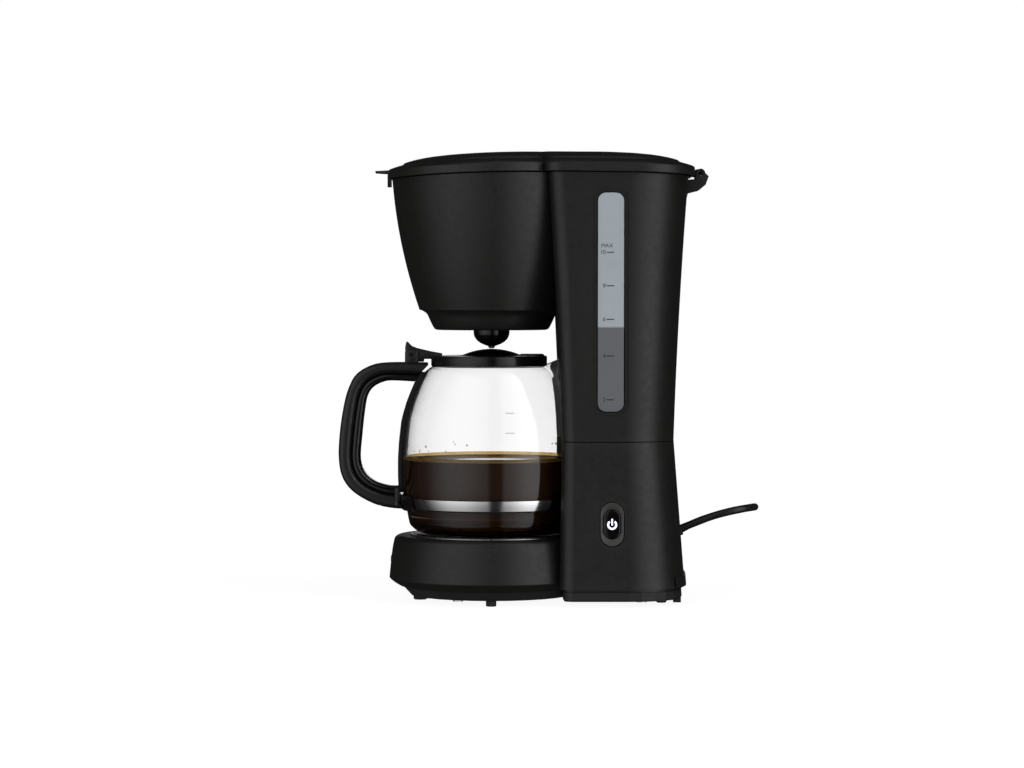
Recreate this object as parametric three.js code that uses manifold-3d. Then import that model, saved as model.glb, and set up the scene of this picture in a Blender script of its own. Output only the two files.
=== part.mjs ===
// A drip coffee maker: a round brew head and hot plate in front of a tank column,
// with a glass carafe between them. Millimetres, +Z up, the front faces -Y.
// Every depth below is measured backwards from the vertical axis that the brew head,
// the carafe and the hot plate share, and one group places that axis at the end.
import * as THREE from 'three';
import { mergeVertices } from 'three/addons/utils/BufferGeometryUtils.js';
import Module from 'manifold-3d';

const wasm = await Module();
wasm.setup();

// ---------------------------------------------------------------- driving dimensions

const gap = 0.3; // clearance between pieces that touch
const fine = 28; // segments round a large visible casing
const medium = 16; // segments round what lies inside
const coarse = 8;
const wall = 2.4; // moulded casings
const seamHeight = 117.6; // parting line between the base and the tank column

// Column: a rounded box that widens upwards and downwards from the seam.
const columnFront = 50.5;
const columnBack = 132.2;
const columnHalfWidth = 65;
const frontCornerRadius = 9.5;
const backCornerRadius = 37;
const backBowAngle = 0.07;
const upperFlareSlope = 0.0326;
const upperFlareCurve = 1.18e-4;
const lowerFlareSlope = 0.0775;
const sideFlareShare = 0.45;
const upperFrontFlareShare = 0.95;
const lowerFrontFlareShare = 0.22;
const recessRadius = 69.5; // hollow in the column's front for the carafe

// Base and hot plate.
const footHeight = 4;
const footRadius = 3.75;
const frontFootRadius = 5;
const rearFootDepth = columnBack - 9.4;
const rearFootHalfSpan = 25;
const sideFootHalfSpan = 55;
const frontFootDepth = -52;
const coverHeight = 6.6;
const wallFoot = 12.6;
const rootInset = 2.4;
const ledgeReach = 1.2;
const ledgeTop = 20.6;
const podTop = 47.5;
const podRadius = 74.4;
const plateRadius = 56.5;
const plateRise = 1.3;
const plateThickness = 2.6;
const sealWidth = 3;

// Brew head.
const headBottom = 196.7;
const headFootRadius = 41.9;
const headStep = 211.2;
const headStepRadius = 50.6;
const headTopRadius = 71.6;
const headReferenceHeight = 300;
const headTaper = 0.0911;
const headCurve = 0.0014;

// Lid: it follows an arch from front to back and has a raised crown.
const archHeight = 310;
const archCentre = 50;
const archCurve = 2.35e-4;
const lidRimRadius = 75.4;
const lidOverhang = 3.3;
const lidNotchDepth = 34;
const rimRise = 6.3;
const ledgeRise = 9.3;
const crownRise = 15.1;
const crownEdgeDrop = 9.4;
const crownPower = 6.5;
const ledgeScale = 0.9;

// Lid hinge at the back of the column.
const hingeDepth = columnBack + 19.5;
const hingeHeight = 310.3;
const hingePinRadius = 1.5;
const hingeKnuckleRadius = 3.4;
const hingeReach = 5.7; // from the hinge axis to the back tip of its ears
const lugHalfWidth = 8.2;
const earThickness = 3.5;

// Water gauge and switch, both on the +X side of the column.
const gaugeDepth = 85;
const gaugeWidth = 19.8;
const gaugeCorner = 6.5;
const paneGap = 0.7;
const sideReach = [columnHalfWidth - 22, columnHalfWidth + 22]; // how far side openings are cut
const gaugeLow = 138.7;
const gaugeHigh = 295.3;
const gaugeRecess = 0.8;
const gaugeThickness = 1.9;
const gaugeBorder = 2.6;
const switchDepth = 86;
const switchHeight = 59.3;
const bezelWidth = 17;
const bezelLength = 31.5;
const buttonWidth = 11.6;
const buttonLength = 20.7;
const buttonTravel = 2;

// Filter basket and drip stop.
const basketTop = 292;
const basketWall = 1.6;
const basketClearance = 0.9;
const nozzleRadius = 13.1;
const nozzleBottom = 185;
const nozzleCapHeight = 9.9;
const dripPinRadius = 2.5;
const dripTravel = 4;
const springRadius = 3.6;
const springTurns = 3;

// Carafe.
const carafeBottom = podTop + 1.6;
const glassWall = 2.2;
const glassTop = 169.9;
const glassMaxRadius = 65;
const glassNeckRadius = 43.8;
const spoutReach = 7.5;
const spoutRise = 5.4;
const carafeLidRadius = 42.4;
const carafeLidOffset = -1.6;
const carafeLidTop = 178;
const domeRadius = 22.5;
const domeRise = 5;
const lidPivotDepth = -58.4;
const lidPivotHeight = 178.7;
const lidPivotPinRadius = 1.6;
const handleReach = 111.1;
const handleWidth = 23;
const handleRound = 3;
const bandLow = 67.2;
const bandHigh = 75.6;
const bandThickness = 0.8;
const strapThickness = 3.2;
const strapHalfWidth = 8;

// Water path.
const hoseRadius = 5.5;
const hoseBore = 3.9;
const riserX = -48;
const riserDepth = 70;
const outletX = -14;
const outletDepth = 100;
const heaterRadius = 42;
const heaterHeight = podTop - 11;
const ballRadius = 4.2;

// Cord.
const cordRadius = 2.75;
const cordExitHeight = 51.6;
const cordRiseAngle = 0.37;
const bushingReach = 1;
const coilX = -132;
const coilDepth = 58;
const coilRadius = 31;
const plugX = -157;
const plugDepth = -24;
const plugRadius = 17.5;
const plugHeight = plugRadius + gap;
const plugLength = 36;
const plugPinRadius = 2.4;
const plugPinSpan = 19;
const plugPinLength = 19;

// The front reach is the handle and the back reach is the hinge, so the origin lies midway.
const brewAxisY = (handleReach - (hingeDepth + hingeReach)) / 2;

// ---------------------------------------------------------------- solids and booleans

function volumeOf(geometry) {
  const p = geometry.attributes.position;
  const index = geometry.index.array;
  const corner = (i) => new THREE.Vector3().fromBufferAttribute(p, index[i]);
  let sum = 0;
  for (let i = 0; i < index.length; i += 3) {
    sum += corner(i).dot(corner(i + 1).cross(corner(i + 2)));
  }
  return sum / 6;
}

// Turns a three.js geometry into a closed manifold solid whose faces point outwards.
function solid(geometry) {
  const bare = geometry.clone();
  bare.deleteAttribute('normal');
  bare.deleteAttribute('uv');
  const merged = mergeVertices(bare, 1e-4);
  const inward = volumeOf(merged) < 0;
  const source = merged.index.array;
  const triangles = [];
  for (let i = 0; i < source.length; i += 3) {
    const [a, b, c] = [source[i], source[i + 1], source[i + 2]];
    if (a !== b && b !== c && c !== a) {
      triangles.push(a, inward ? c : b, inward ? b : c);
    }
  }
  return new wasm.Manifold(new wasm.Mesh({
    numProp: 3,
    vertProperties: new Float32Array(merged.attributes.position.array),
    triVerts: new Uint32Array(triangles),
  }));
}

function geometryOf(manifold) {
  const mesh = manifold.getMesh();
  const geometry = new THREE.BufferGeometry();
  geometry.setAttribute('position', new THREE.BufferAttribute(mesh.vertProperties, 3));
  geometry.setIndex(new THREE.BufferAttribute(mesh.triVerts, 1));
  geometry.computeVertexNormals();
  return geometry;
}

function joined(...solids) {
  return solids.reduce((sum, next) => sum.add(next));
}

function cut(body, ...tools) {
  return tools.reduce((rest, tool) => rest.subtract(tool), body);
}

// A solid of revolution about the brew axis, from [radius, height] points off the axis.
function turned(points, segments = fine, x = 0, depth = 0) {
  const profile = points.map(([r, z]) => new THREE.Vector2(r, z));
  profile.unshift(new THREE.Vector2(0, profile[0].y));
  profile.push(new THREE.Vector2(0, profile[profile.length - 1].y));
  const geometry = new THREE.LatheGeometry(profile, segments);
  geometry.rotateX(Math.PI / 2);
  return solid(geometry.translate(x, depth, 0));
}

function upright(radius, low, high, x = 0, depth = 0, segments = coarse) {
  return turned([[radius, low], [radius, high]], segments, x, depth);
}

// A bar of round section along X.
function crossBar(radius, xLow, xHigh, depth, height, segments = coarse) {
  const geometry = new THREE.CylinderGeometry(radius, radius, xHigh - xLow, segments);
  geometry.rotateZ(Math.PI / 2);
  return solid(geometry.translate((xLow + xHigh) / 2, depth, height));
}

function box(xLow, xHigh, yLow, yHigh, zLow, zHigh) {
  const geometry = new THREE.BoxGeometry(xHigh - xLow, yHigh - yLow, zHigh - zLow);
  return solid(geometry.translate((xLow + xHigh) / 2, (yLow + yHigh) / 2, (zLow + zHigh) / 2));
}

function shapeOf(points) {
  return new THREE.Shape(points.map(([u, v]) => new THREE.Vector2(u, v)));
}

// Extrudes a side outline, drawn as (depth, height), along X.
function sideways(shape, xLow, xHigh, options = {}) {
  const bevel = options.bevel ?? 0;
  const geometry = new THREE.ExtrudeGeometry(shape, {
    depth: xHigh - xLow - 2 * bevel,
    curveSegments: 3,
    bevelEnabled: bevel > 0,
    bevelThickness: bevel,
    bevelSize: bevel,
    bevelOffset: -bevel,
    bevelSegments: options.bevelSegments ?? 1,
  });
  const axes = [new THREE.Vector3(0, 1, 0), new THREE.Vector3(0, 0, 1), new THREE.Vector3(1, 0, 0)];
  geometry.translate(0, 0, xLow + bevel);
  geometry.applyMatrix4(new THREE.Matrix4().makeBasis(...axes));
  return solid(geometry);
}

// Moves every vertex by a rule that takes and gives [x, y, z].
function reshape(geometry, rule) {
  const p = geometry.attributes.position;
  for (let i = 0; i < p.count; i += 1) {
    p.setXYZ(i, ...rule(p.getX(i), p.getY(i), p.getZ(i)));
  }
  return geometry;
}

// A tube, or a rod where bore is 0, swept along a curve.
function swept(curve, radius, bore, steps, sides = 10) {
  const section = new THREE.Shape().absarc(0, 0, radius, 0, 2 * Math.PI, false);
  if (bore > 0) {
    section.holes.push(new THREE.Path().absarc(0, 0, bore, 0, 2 * Math.PI, true));
  }
  return solid(new THREE.ExtrudeGeometry(section, {
    steps,
    curveSegments: sides / 2,
    extrudePath: curve,
  }));
}

function curveThrough(points) {
  return new THREE.CatmullRomCurve3(points.map((p) => new THREE.Vector3(...p)), false, 'centripetal');
}

// An upright oval with straight sides, centred on (depth, height).
function roundedBar(depth, height, width, length, radius) {
  const side = width / 2 - radius;
  const end = length / 2 - radius;
  const shape = new THREE.Shape();
  shape.absarc(depth + side, height + end, radius, 0, Math.PI / 2, false);
  shape.absarc(depth - side, height + end, radius, Math.PI / 2, Math.PI, false);
  shape.absarc(depth - side, height - end, radius, Math.PI, 1.5 * Math.PI, false);
  shape.absarc(depth + side, height - end, radius, 1.5 * Math.PI, 2 * Math.PI, false);
  shape.closePath();
  return shape;
}

function stadium(depth, height, width, length) {
  const radius = width / 2;
  const straight = length / 2 - radius;
  const shape = new THREE.Shape();
  shape.absarc(depth, height + straight, radius, 0, Math.PI, false);
  shape.absarc(depth, height - straight, radius, Math.PI, 2 * Math.PI, false);
  shape.closePath();
  return shape;
}

// ---------------------------------------------------------------- the column's form

function flare(height) {
  const rise = height - seamHeight;
  if (rise < 0) {
    return -rise * lowerFlareSlope;
  }
  return rise * upperFlareSlope + rise * rise * upperFlareCurve;
}

function halfWidthAt(height) {
  return columnHalfWidth + sideFlareShare * flare(height);
}

function frontAt(height) {
  const share = height < seamHeight ? lowerFrontFlareShare : upperFrontFlareShare;
  return columnFront - share * flare(height);
}

function backAt(height) {
  return columnBack + flare(height);
}

function columnPlan(inset) {
  const front = columnFront + inset;
  const half = columnHalfWidth - inset;
  const frontRadius = Math.max(frontCornerRadius - inset, 1);
  const backRadius = backCornerRadius - inset;
  const bowX = half - backRadius + backRadius * Math.sin(backBowAngle);
  const bowRise = bowX * Math.tan(backBowAngle);
  const backCentre = columnBack - inset - backRadius * Math.cos(backBowAngle) - bowRise / 2;
  const bowStart = backCentre + backRadius * Math.cos(backBowAngle);
  const shape = new THREE.Shape();
  shape.absarc(half - frontRadius, front + frontRadius, frontRadius, -Math.PI / 2, 0, false);
  shape.absarc(half - backRadius, backCentre, backRadius, 0, Math.PI / 2 - backBowAngle, false);
  shape.quadraticCurveTo(0, bowStart + bowRise, -bowX, bowStart);
  shape.absarc(backRadius - half, backCentre, backRadius, Math.PI / 2 + backBowAngle, Math.PI, false);
  shape.absarc(frontRadius - half, front + frontRadius, frontRadius, Math.PI, 1.5 * Math.PI, false);
  shape.closePath();
  return shape;
}

// The column between two heights, with its faces moved inwards by the inset.
function column(inset, low, high) {
  const geometry = new THREE.ExtrudeGeometry(columnPlan(inset), {
    depth: high - low,
    steps: Math.max(1, Math.round((high - low) / 50)),
    curveSegments: 3,
    bevelEnabled: false,
  });
  geometry.translate(0, 0, low);
  const plannedDepth = columnBack - columnFront - 2 * inset;
  reshape(geometry, (x, y, z) => {
    const along = (y - columnFront - inset) / plannedDepth;
    const depth = backAt(z) - frontAt(z) - 2 * inset;
    const spread = (halfWidthAt(z) - inset) / (columnHalfWidth - inset);
    return [x * spread, frontAt(z) + inset + along * depth, z];
  });
  return solid(geometry);
}

// ---------------------------------------------------------------- the brew head's form

function headRadiusAt(height) {
  const drop = headReferenceHeight - height;
  return headTopRadius - headTaper * drop - headCurve * drop * drop;
}

// Points up the outside of the brew head's cone, moved inwards by the inset.
function headCone(inset, low, high, count = 4) {
  const points = [];
  for (let i = 0; i <= count; i += 1) {
    const height = low + (high - low) * i / count;
    points.push([headRadiusAt(height) - inset, height]);
  }
  return points;
}

function headFoot(inset, floor) {
  return [
    [headFootRadius - 1.5 - inset, floor],
    [headFootRadius - inset, Math.max(floor, headBottom + 1.2)],
    [headFootRadius + 2.4 - inset, headBottom + 5.8],
    [headStepRadius - 3.6 - inset, headStep - 2.8],
    [headStepRadius - inset, headStep - 0.4],
  ];
}

// ---------------------------------------------------------------- arch and lid form

function archAt(depth) {
  const reach = depth - archCentre;
  return archHeight - archCurve * reach * reach;
}

// Everything above the arch that the lid's rim rests on, raised or lowered by the offset.
function aboveArch(offset) {
  const points = [];
  for (let depth = -100; depth <= 180; depth += 28) {
    points.push([depth, archAt(depth) + offset]);
  }
  points.push([180, 400], [-100, 400]);
  return sideways(shapeOf(points), -100, 100);
}

// The lid's plan: the round front and the column behind it, with a shallow notch between.
function lidPlan(inset) {
  const rim = lidRimRadius - inset;
  const half = halfWidthAt(archHeight) + lidOverhang - inset;
  const corner = frontCornerRadius + lidOverhang - inset;
  const cornerCentre = frontAt(archHeight) + frontCornerRadius;
  const back = backCornerRadius + lidOverhang - inset;
  const backCentre = backAt(archHeight) - backCornerRadius;
  const notchAngle = Math.asin(lidNotchDepth / lidRimRadius);
  const cornerStart = -1.3;
  const shape = new THREE.Shape();
  shape.absarc(half - corner, cornerCentre, corner, cornerStart, 0, false);
  shape.absarc(half - back, backCentre, back, 0, Math.PI / 2, false);
  shape.absarc(back - half, backCentre, back, Math.PI / 2, Math.PI, false);
  shape.absarc(corner - half, cornerCentre, corner, Math.PI, Math.PI - cornerStart, false);
  const sweep = (Math.PI + 2 * notchAngle) / 4;
  for (let i = 0; i < 4; i += 1) {
    const start = Math.PI - notchAngle + i * sweep;
    shape.absarc(0, 0, rim, start, start + sweep, false);
  }
  shape.closePath();
  return shape;
}

// Rings of the lid's outside as [share of the plan, rise above the arch].
function crownRings(hidden) {
  const rings = [[1, -8], [1, rimRise], [0.955, rimRise + 1.6], [ledgeScale + 0.005, ledgeRise]];
  const scales = hidden ? [0.8, 0.5, 0.02] : [ledgeScale - 0.005, 0.84, 0.72, 0.5, 0.2, 0.02];
  for (const scale of scales) {
    rings.push([scale, crownRise - crownEdgeDrop * scale ** crownPower]);
  }
  return rings;
}

function crown(inset, lowering) {
  const rings = crownRings(inset > 0);
  const centre = (backAt(archHeight) + lidOverhang - lidRimRadius) / 2;
  const geometry = new THREE.ExtrudeGeometry(lidPlan(inset), {
    depth: rings.length - 1,
    steps: rings.length - 1,
    curveSegments: 2,
    bevelEnabled: false,
  });
  reshape(geometry, (x, y, level) => {
    const [scale, rise] = rings[Math.round(level)];
    const depth = centre + (y - centre) * scale;
    return [x * scale, depth, archAt(depth) + rise - lowering];
  });
  return solid(geometry);
}

// ---------------------------------------------------------------- the carafe's form

// The outside of the carafe's glass, from its foot to its neck.
function glassOutline(offset) {
  const shoulder = glassMaxRadius - glassNeckRadius;
  const points = [
    [carafeBottom + 2.3, glassMaxRadius - 9.3],
    [carafeBottom + 7.1, glassMaxRadius - 5.3],
    [65.2, glassMaxRadius - 3.3],
    [80.5, glassMaxRadius - 0.5],
    [90, glassMaxRadius],
    [103, glassMaxRadius],
    [116, glassMaxRadius - 0.038 * shoulder],
    [130.8, glassMaxRadius - 0.118 * shoulder],
    [138, glassMaxRadius - 0.208 * shoulder],
    [145.4, glassMaxRadius - 0.316 * shoulder],
    [152.7, glassMaxRadius - 0.453 * shoulder],
    [160, glassMaxRadius - 0.604 * shoulder],
    [165.8, glassMaxRadius - 0.764 * shoulder],
    [168.7, glassMaxRadius - 0.915 * shoulder],
    [glassTop, glassNeckRadius],
  ];
  return points.map(([height, radius]) => [radius + offset, height]);
}

function shiftedUp(points, by) {
  return points.map(([r, z]) => [r, z + by]);
}

// A body of revolution that follows the glass at a distance, past both of its ends.
function aroundGlass(offset) {
  const points = glassOutline(offset);
  points.unshift([points[0][0], 30]);
  points.push([points[points.length - 1][0], 200]);
  return turned(points);
}

// The handle's two edges as matching points, outer and inner, as (depth, height).
const handleEdges = [
  [[-46, 173], [-46, 158.5]],
  [[-75.4, 173], [-71, 159.9]],
  [[-88.5, 170.6], [-79, 158.8]],
  [[-98.5, 164.2], [-86, 155]],
  [[-104.2, 153.6], [-90.2, 149]],
  [[-107.6, 140.5], [-92.3, 138.5]],
  [[-110.3, 122], [-94.3, 120.5]],
  [[-handleReach, 104], [-95.5, 103.5]],
  [[-108.4, 89.6], [-92.6, 93.8]],
  [[-100.4, 79], [-85.6, 87.2]],
  [[-86, 70.6], [-76, 83.8]],
  [[-72, 67.2], [-68, 83.2]],
  [[-58, 66.6], [-58, 83.2]],
];

// A handle piece between two shares of the way from its outer to its inner edge.
function handlePart(from, to, width, round) {
  const edge = (share) => handleEdges.map(([outer, inner]) => new THREE.Vector2(
    outer[0] + (inner[0] - outer[0]) * share,
    outer[1] + (inner[1] - outer[1]) * share,
  ));
  const there = new THREE.SplineCurve(edge(from)).getPoints(18);
  const back = new THREE.SplineCurve(edge(to)).getPoints(18).reverse();
  const shape = new THREE.Shape([...there, ...back]);
  const body = sideways(shape, -width / 2, width / 2, { bevel: round, bevelSegments: 2 });
  return cut(body, aroundGlass(gap + strapThickness + gap));
}

// ---------------------------------------------------------------- casings

function baseHousing() {
  const pod = turned([
    [podRadius - 7.7, footHeight + coverHeight + gap],
    [podRadius, 16.4],
    [podRadius - 0.5, 23],
    [podRadius - 1.9, 36],
    [podRadius - 3.4, podTop - 4.1],
    [podRadius - 4.1, podTop - 1.2],
    [podRadius - 5.4, podTop - 0.3],
    [podRadius - 7.9, podTop],
  ]);
  const bottom = footHeight + coverHeight + gap;
  const inside = turned([
    [podRadius - 7.7 - wall, 0],
    [podRadius - 7.7 - wall, 13],
    [podRadius - wall - 0.6, 18],
    [podRadius - 1.9 - wall, 36],
    [podRadius - 4.4 - wall, podTop - wall],
  ], medium);
  const backLedge = cut(
    column(-ledgeReach, wallFoot + 0.6, ledgeTop),
    box(-100, 100, 0, columnBack - 0.2, 0, 30),
  );
  const columnInside = cut(
    column(wall, 18, seamHeight + 5),
    upright(recessRadius + wall, podTop - wall, 150, 0, 0, fine),
  );
  const shell = joined(
    pod,
    cut(
      joined(column(0, wallFoot, seamHeight - gap), column(rootInset, bottom, wallFoot + 0.5), backLedge),
      upright(recessRadius, podTop, 150, 0, 0, fine),
    ),
  );
  return cut(
    shell,
    inside,
    columnInside,
    column(rootInset + wall, 0, 18.5),
    upright(plateRadius + sealWidth + gap, 30, 60, 0, 0, fine),
    sideways(stadium(switchDepth, switchHeight, bezelWidth + 2 * gap, bezelLength + 2 * gap), ...sideReach),
    cordBore(),
  );
}

function bottomCover() {
  const low = footHeight + gap / 3;
  const high = footHeight + coverHeight;
  const tray = joined(
    turned([[59, low], [65, high]]),
    column(rootInset + 0.2, low + 1.2, high),
    column(rootInset + 1, low, low + 1.4),
  );
  const hollow = joined(
    turned([[59 - wall, low + wall], [62, high + 5]]),
    column(rootInset + 0.2 + wall, low + wall, high + 5),
  );
  const postFront = rearFootDepth + 8.7;
  const posts = [-22, 22].map((x) => box(x - 3, x + 3, postFront, columnBack + 4.8, 0, high));
  const slots = [-24, -12, 0, 12, 24].map((x) => box(x - 1.5, x + 1.5, 60, 92, 0, 20));
  return cut(joined(cut(tray, hollow), ...posts), ...slots);
}

function tankHousing() {
  const floor = seamHeight + 3;
  const front = turned([
    [recessRadius, 100],
    [recessRadius, headStep - 3],
    [headRadiusAt(headStep) + gap, headStep - 3],
    ...headCone(-gap, headStep, 320),
  ]);
  const frontInside = turned([
    [recessRadius + wall, 100],
    [recessRadius + wall, headStep - 3 + wall],
    [headRadiusAt(headStep) + gap + wall, headStep - 3 + wall],
    ...headCone(-gap - wall, headStep, 320, 3),
  ]);
  const shell = cut(
    column(0, seamHeight, 318),
    front,
    cut(column(wall, floor, 330), frontInside),
    aboveArch(-gap),
  );
  const gaugeMiddle = (gaugeLow + gaugeHigh) / 2;
  const gaugeLength = gaugeHigh - gaugeLow;
  const opening = roundedBar(gaugeDepth, gaugeMiddle, gaugeWidth, gaugeLength, gaugeCorner);
  const border = roundedBar(
    gaugeDepth,
    gaugeMiddle,
    gaugeWidth + 2 * gaugeBorder,
    gaugeLength + 2 * gaugeBorder,
    gaugeCorner + gaugeBorder,
  );
  const slot = sideways(opening, ...sideReach);
  const recess = cut(
    sideways(border, ...sideReach),
    column(gaugeRecess, 110, 325),
  );
  const pipeHoles = joined(
    upright(hoseRadius + gap, 100, 130, riserX, riserDepth),
    upright(hoseRadius + gap, 100, 130, outletX, outletDepth),
  );
  return joined(cut(shell, slot, recess, pipeHoles), ...hingeEars());
}

// Two ears on the column's back hold the lid's hinge pin.
function hingeEars() {
  const root = backAt(hingeHeight) - wall / 2 - 0.6;
  const outline = shapeOf([
    [root, hingeHeight - 19.2],
    [hingeDepth - 9.3, hingeHeight - 14.4],
    [hingeDepth - 1.3, hingeHeight - 12.4],
    [hingeDepth + 3.5, hingeHeight - 8.3],
    [hingeDepth + hingeReach, hingeHeight - 2.3],
    [hingeDepth + 3, hingeHeight + 0.4],
    [hingeDepth + 1.9, hingeHeight + 2.6],
    [hingeDepth, hingeHeight + 3.4],
    [hingeDepth - 2.9, hingeHeight + 1.4],
    [hingeDepth - 3.8, hingeHeight - 4.3],
    [root, hingeHeight - 4.7],
  ]);
  const near = lugHalfWidth + gap;
  const far = near + earThickness;
  const bore = crossBar(hingePinRadius + gap, -30, 30, hingeDepth, hingeHeight);
  return [cut(sideways(outline, near, far), bore), cut(sideways(outline, -far, -near), bore)];
}

function filterHousing() {
  const outside = turned([...headFoot(0, headBottom), ...headCone(0, headStep, 318)]);
  const inside = turned([
    ...headFoot(wall, headBottom + wall),
    ...headCone(wall, headStep + wall, 330, 3),
  ], medium);
  return cut(
    outside,
    inside,
    upright(nozzleRadius + 2 * gap, 180, 205, 0, 0, medium),
    aboveArch(-gap),
    arm(3.6 + gap, 0),
  );
}

function lid() {
  const shell = cut(crown(0, 0), crown(wall, wall));
  const rim = shell.intersect(aboveArch(0));
  const tab = sideways(shapeOf([
    [-lidRimRadius - 8.7, archAt(-lidRimRadius) + 4.3],
    [-lidRimRadius - 8.7, archAt(-lidRimRadius) + 5.6],
    [-lidRimRadius + 1.2, archAt(-lidRimRadius) + 6],
    [-lidRimRadius + 1.2, archAt(-lidRimRadius) + 3.8],
  ]), -13, 13);
  const front = archAt(-lidRimRadius);
  const latch = box(-8, 8, -lidRimRadius, -headRadiusAt(305) - 0.9, front - 5.8, front + 3);
  const knuckle = crossBar(hingeKnuckleRadius, -lugHalfWidth, lugHalfWidth, hingeDepth, hingeHeight);
  const rimBack = backAt(archHeight) + lidOverhang;
  const lug = sideways(shapeOf([
    [rimBack - 1.2, hingeHeight - 2],
    [hingeDepth, hingeHeight - hingeKnuckleRadius],
    [hingeDepth, hingeHeight + hingeKnuckleRadius],
    [rimBack - 1.2, hingeHeight + 2],
  ]), -lugHalfWidth, lugHalfWidth);
  const bore = crossBar(hingePinRadius + gap, -30, 30, hingeDepth, hingeHeight);
  return cut(joined(rim, tab, latch, knuckle, lug), bore);
}

function gaugeWindow() {
  const middle = (gaugeLow + gaugeHigh) / 2;
  const width = gaugeWidth - 2 * paneGap;
  const length = gaugeHigh - gaugeLow - 2 * paneGap;
  const pane = sideways(roundedBar(gaugeDepth, middle, width, length, gaugeCorner - paneGap), ...sideReach);
  const skin = cut(column(gaugeRecess, 120, 308), column(gaugeRecess + gaugeThickness, 110, 320));
  return pane.intersect(skin);
}

// ---------------------------------------------------------------- brewing parts

function filterBasket() {
  const outside = turned([
    ...headFoot(wall + basketClearance, headBottom + wall + gap),
    ...headCone(wall + basketClearance, headStep + wall, basketTop, 3),
  ], medium);
  const inset = wall + basketClearance + basketWall;
  const inside = turned([
    ...headFoot(inset, headBottom + wall + gap + basketWall),
    ...headCone(inset, headStep + wall + basketWall, basketTop + 4, 3),
  ], medium);
  const pivots = crossBar(1.8, -100, 100, 0, basketTop - 6, 12);
  return cut(outside, inside, upright(2.4, 190, 210), pivots);
}

function basketHandle() {
  const radius = headRadiusAt(basketTop - 6) - wall - basketClearance - basketWall - 3.4;
  const arc = new THREE.EllipseCurve(0, 0, radius, radius, Math.PI, 2 * Math.PI, false);
  const points = arc.getPoints(16).map((p) => [p.x, p.y, basketTop - 6]);
  const bail = swept(curveThrough(points), 1.5, 0, 16, 8);
  const reach = radius + basketWall + 3.6;
  const pins = [
    crossBar(1.5, -reach, -radius + 1, 0, basketTop - 6, 12),
    crossBar(1.5, radius - 1, reach, 0, basketTop - 6, 12),
  ];
  return joined(bail, ...pins);
}

// Points of the nozzle's rounded underside, from the middle outwards.
function nozzleCap(radius, bottom, height) {
  const points = [];
  for (let i = 0; i <= 5; i += 1) {
    const angle = (i / 5) * Math.PI / 2;
    points.push([Math.max(radius * Math.sin(angle), 0.01), bottom + height * (1 - Math.cos(angle))]);
  }
  return points;
}

const nozzleTop = headBottom + wall;

function dripNozzle() {
  const cap = nozzleCap(nozzleRadius, nozzleBottom, nozzleCapHeight);
  const outside = turned([...cap, [nozzleRadius, nozzleTop]], medium);
  const inside = turned([
    ...nozzleCap(nozzleRadius - wall, nozzleBottom + wall, nozzleCapHeight - wall / 2),
    [nozzleRadius - wall, nozzleTop + 1],
  ], coarse);
  return cut(outside, inside, upright(dripPinRadius + gap, 180, 195));
}

// The pin stands on the carafe's lid, which holds its head off the seat by its travel.
// The seat is the nozzle's rounded floor, at the head's own radius.
const pinTip = carafeLidTop + domeRise + gap;
const pinHeadRadius = 4.4;
const seatSlope = Math.asin(pinHeadRadius / (nozzleRadius - wall));
const seatRise = (nozzleCapHeight - wall / 2) * (1 - Math.cos(seatSlope)) + 0.4;
const pinHeadLow = nozzleBottom + wall + seatRise + gap + dripTravel;
const pinHeadHigh = pinHeadLow + 1.5;

function dripStopPin() {
  return joined(
    turned([
      [dripPinRadius - 1, pinTip],
      [dripPinRadius, pinTip + 1],
      [dripPinRadius, pinHeadLow + 0.5],
    ], 16),
    upright(pinHeadRadius, pinHeadLow, pinHeadHigh),
  );
}

function dripSpring() {
  const low = pinHeadHigh + gap + 0.45;
  const high = nozzleTop - 0.45;
  const points = [];
  const steps = springTurns * 12;
  for (let i = 0; i <= steps; i += 1) {
    const angle = (i / 12) * 2 * Math.PI;
    const height = low + (high - low) * i / steps;
    points.push([springRadius * Math.cos(angle), springRadius * Math.sin(angle), height]);
  }
  return swept(curveThrough(points), 0.4, 0, 30, 6);
}

// ---------------------------------------------------------------- water path

const armHeight = archHeight + 4.6;

function armCurve() {
  return curveThrough([
    [riserX, riserDepth, armHeight],
    [riserX * 0.66, riserDepth * 0.66, armHeight],
    [riserX * 0.33, riserDepth * 0.33, armHeight],
    [0, 0, armHeight],
  ]);
}

function arm(radius, bore) {
  return swept(armCurve(), radius, bore, 3, 10);
}

function spoutArm() {
  const socketLow = archHeight - 12;
  const elbow = joined(
    upright(hoseRadius + 2, socketLow, armHeight + 3.6, riserX, riserDepth),
    arm(3.6, 0),
    upright(6, armHeight - 3.6, armHeight + 3.2),
  );
  const waterWay = swept(armCurve(), 2.2, 0, 3, 8);
  return cut(
    elbow,
    waterWay,
    upright(hoseRadius + gap, socketLow - 1, armHeight - 6, riserX, riserDepth),
    upright(hoseBore, armHeight - 7, armHeight + 2, riserX, riserDepth),
    upright(3, armHeight - 8, armHeight + 1),
  );
}

function showerHead() {
  const low = armHeight - 3.6 - gap - 5;
  const plate = cut(
    upright(17, low, low + 5, 0, 0, medium),
    upright(15.4, low + 1.6, low + 6, 0, 0, medium),
  );
  const holes = [0, 1, 2, 3, 4, 5].map((i) => {
    const angle = (i / 6) * 2 * Math.PI;
    return upright(1.2, low - 1, low + 3, 10 * Math.cos(angle), 10 * Math.sin(angle), 8);
  });
  return cut(plate, ...holes);
}

function riserTube() {
  const low = seamHeight - 8;
  const high = archHeight - 1.8;
  return cut(
    upright(hoseRadius, low, high, riserX, riserDepth),
    upright(hoseBore, low - 1, high + 1, riserX, riserDepth),
  );
}

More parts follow.
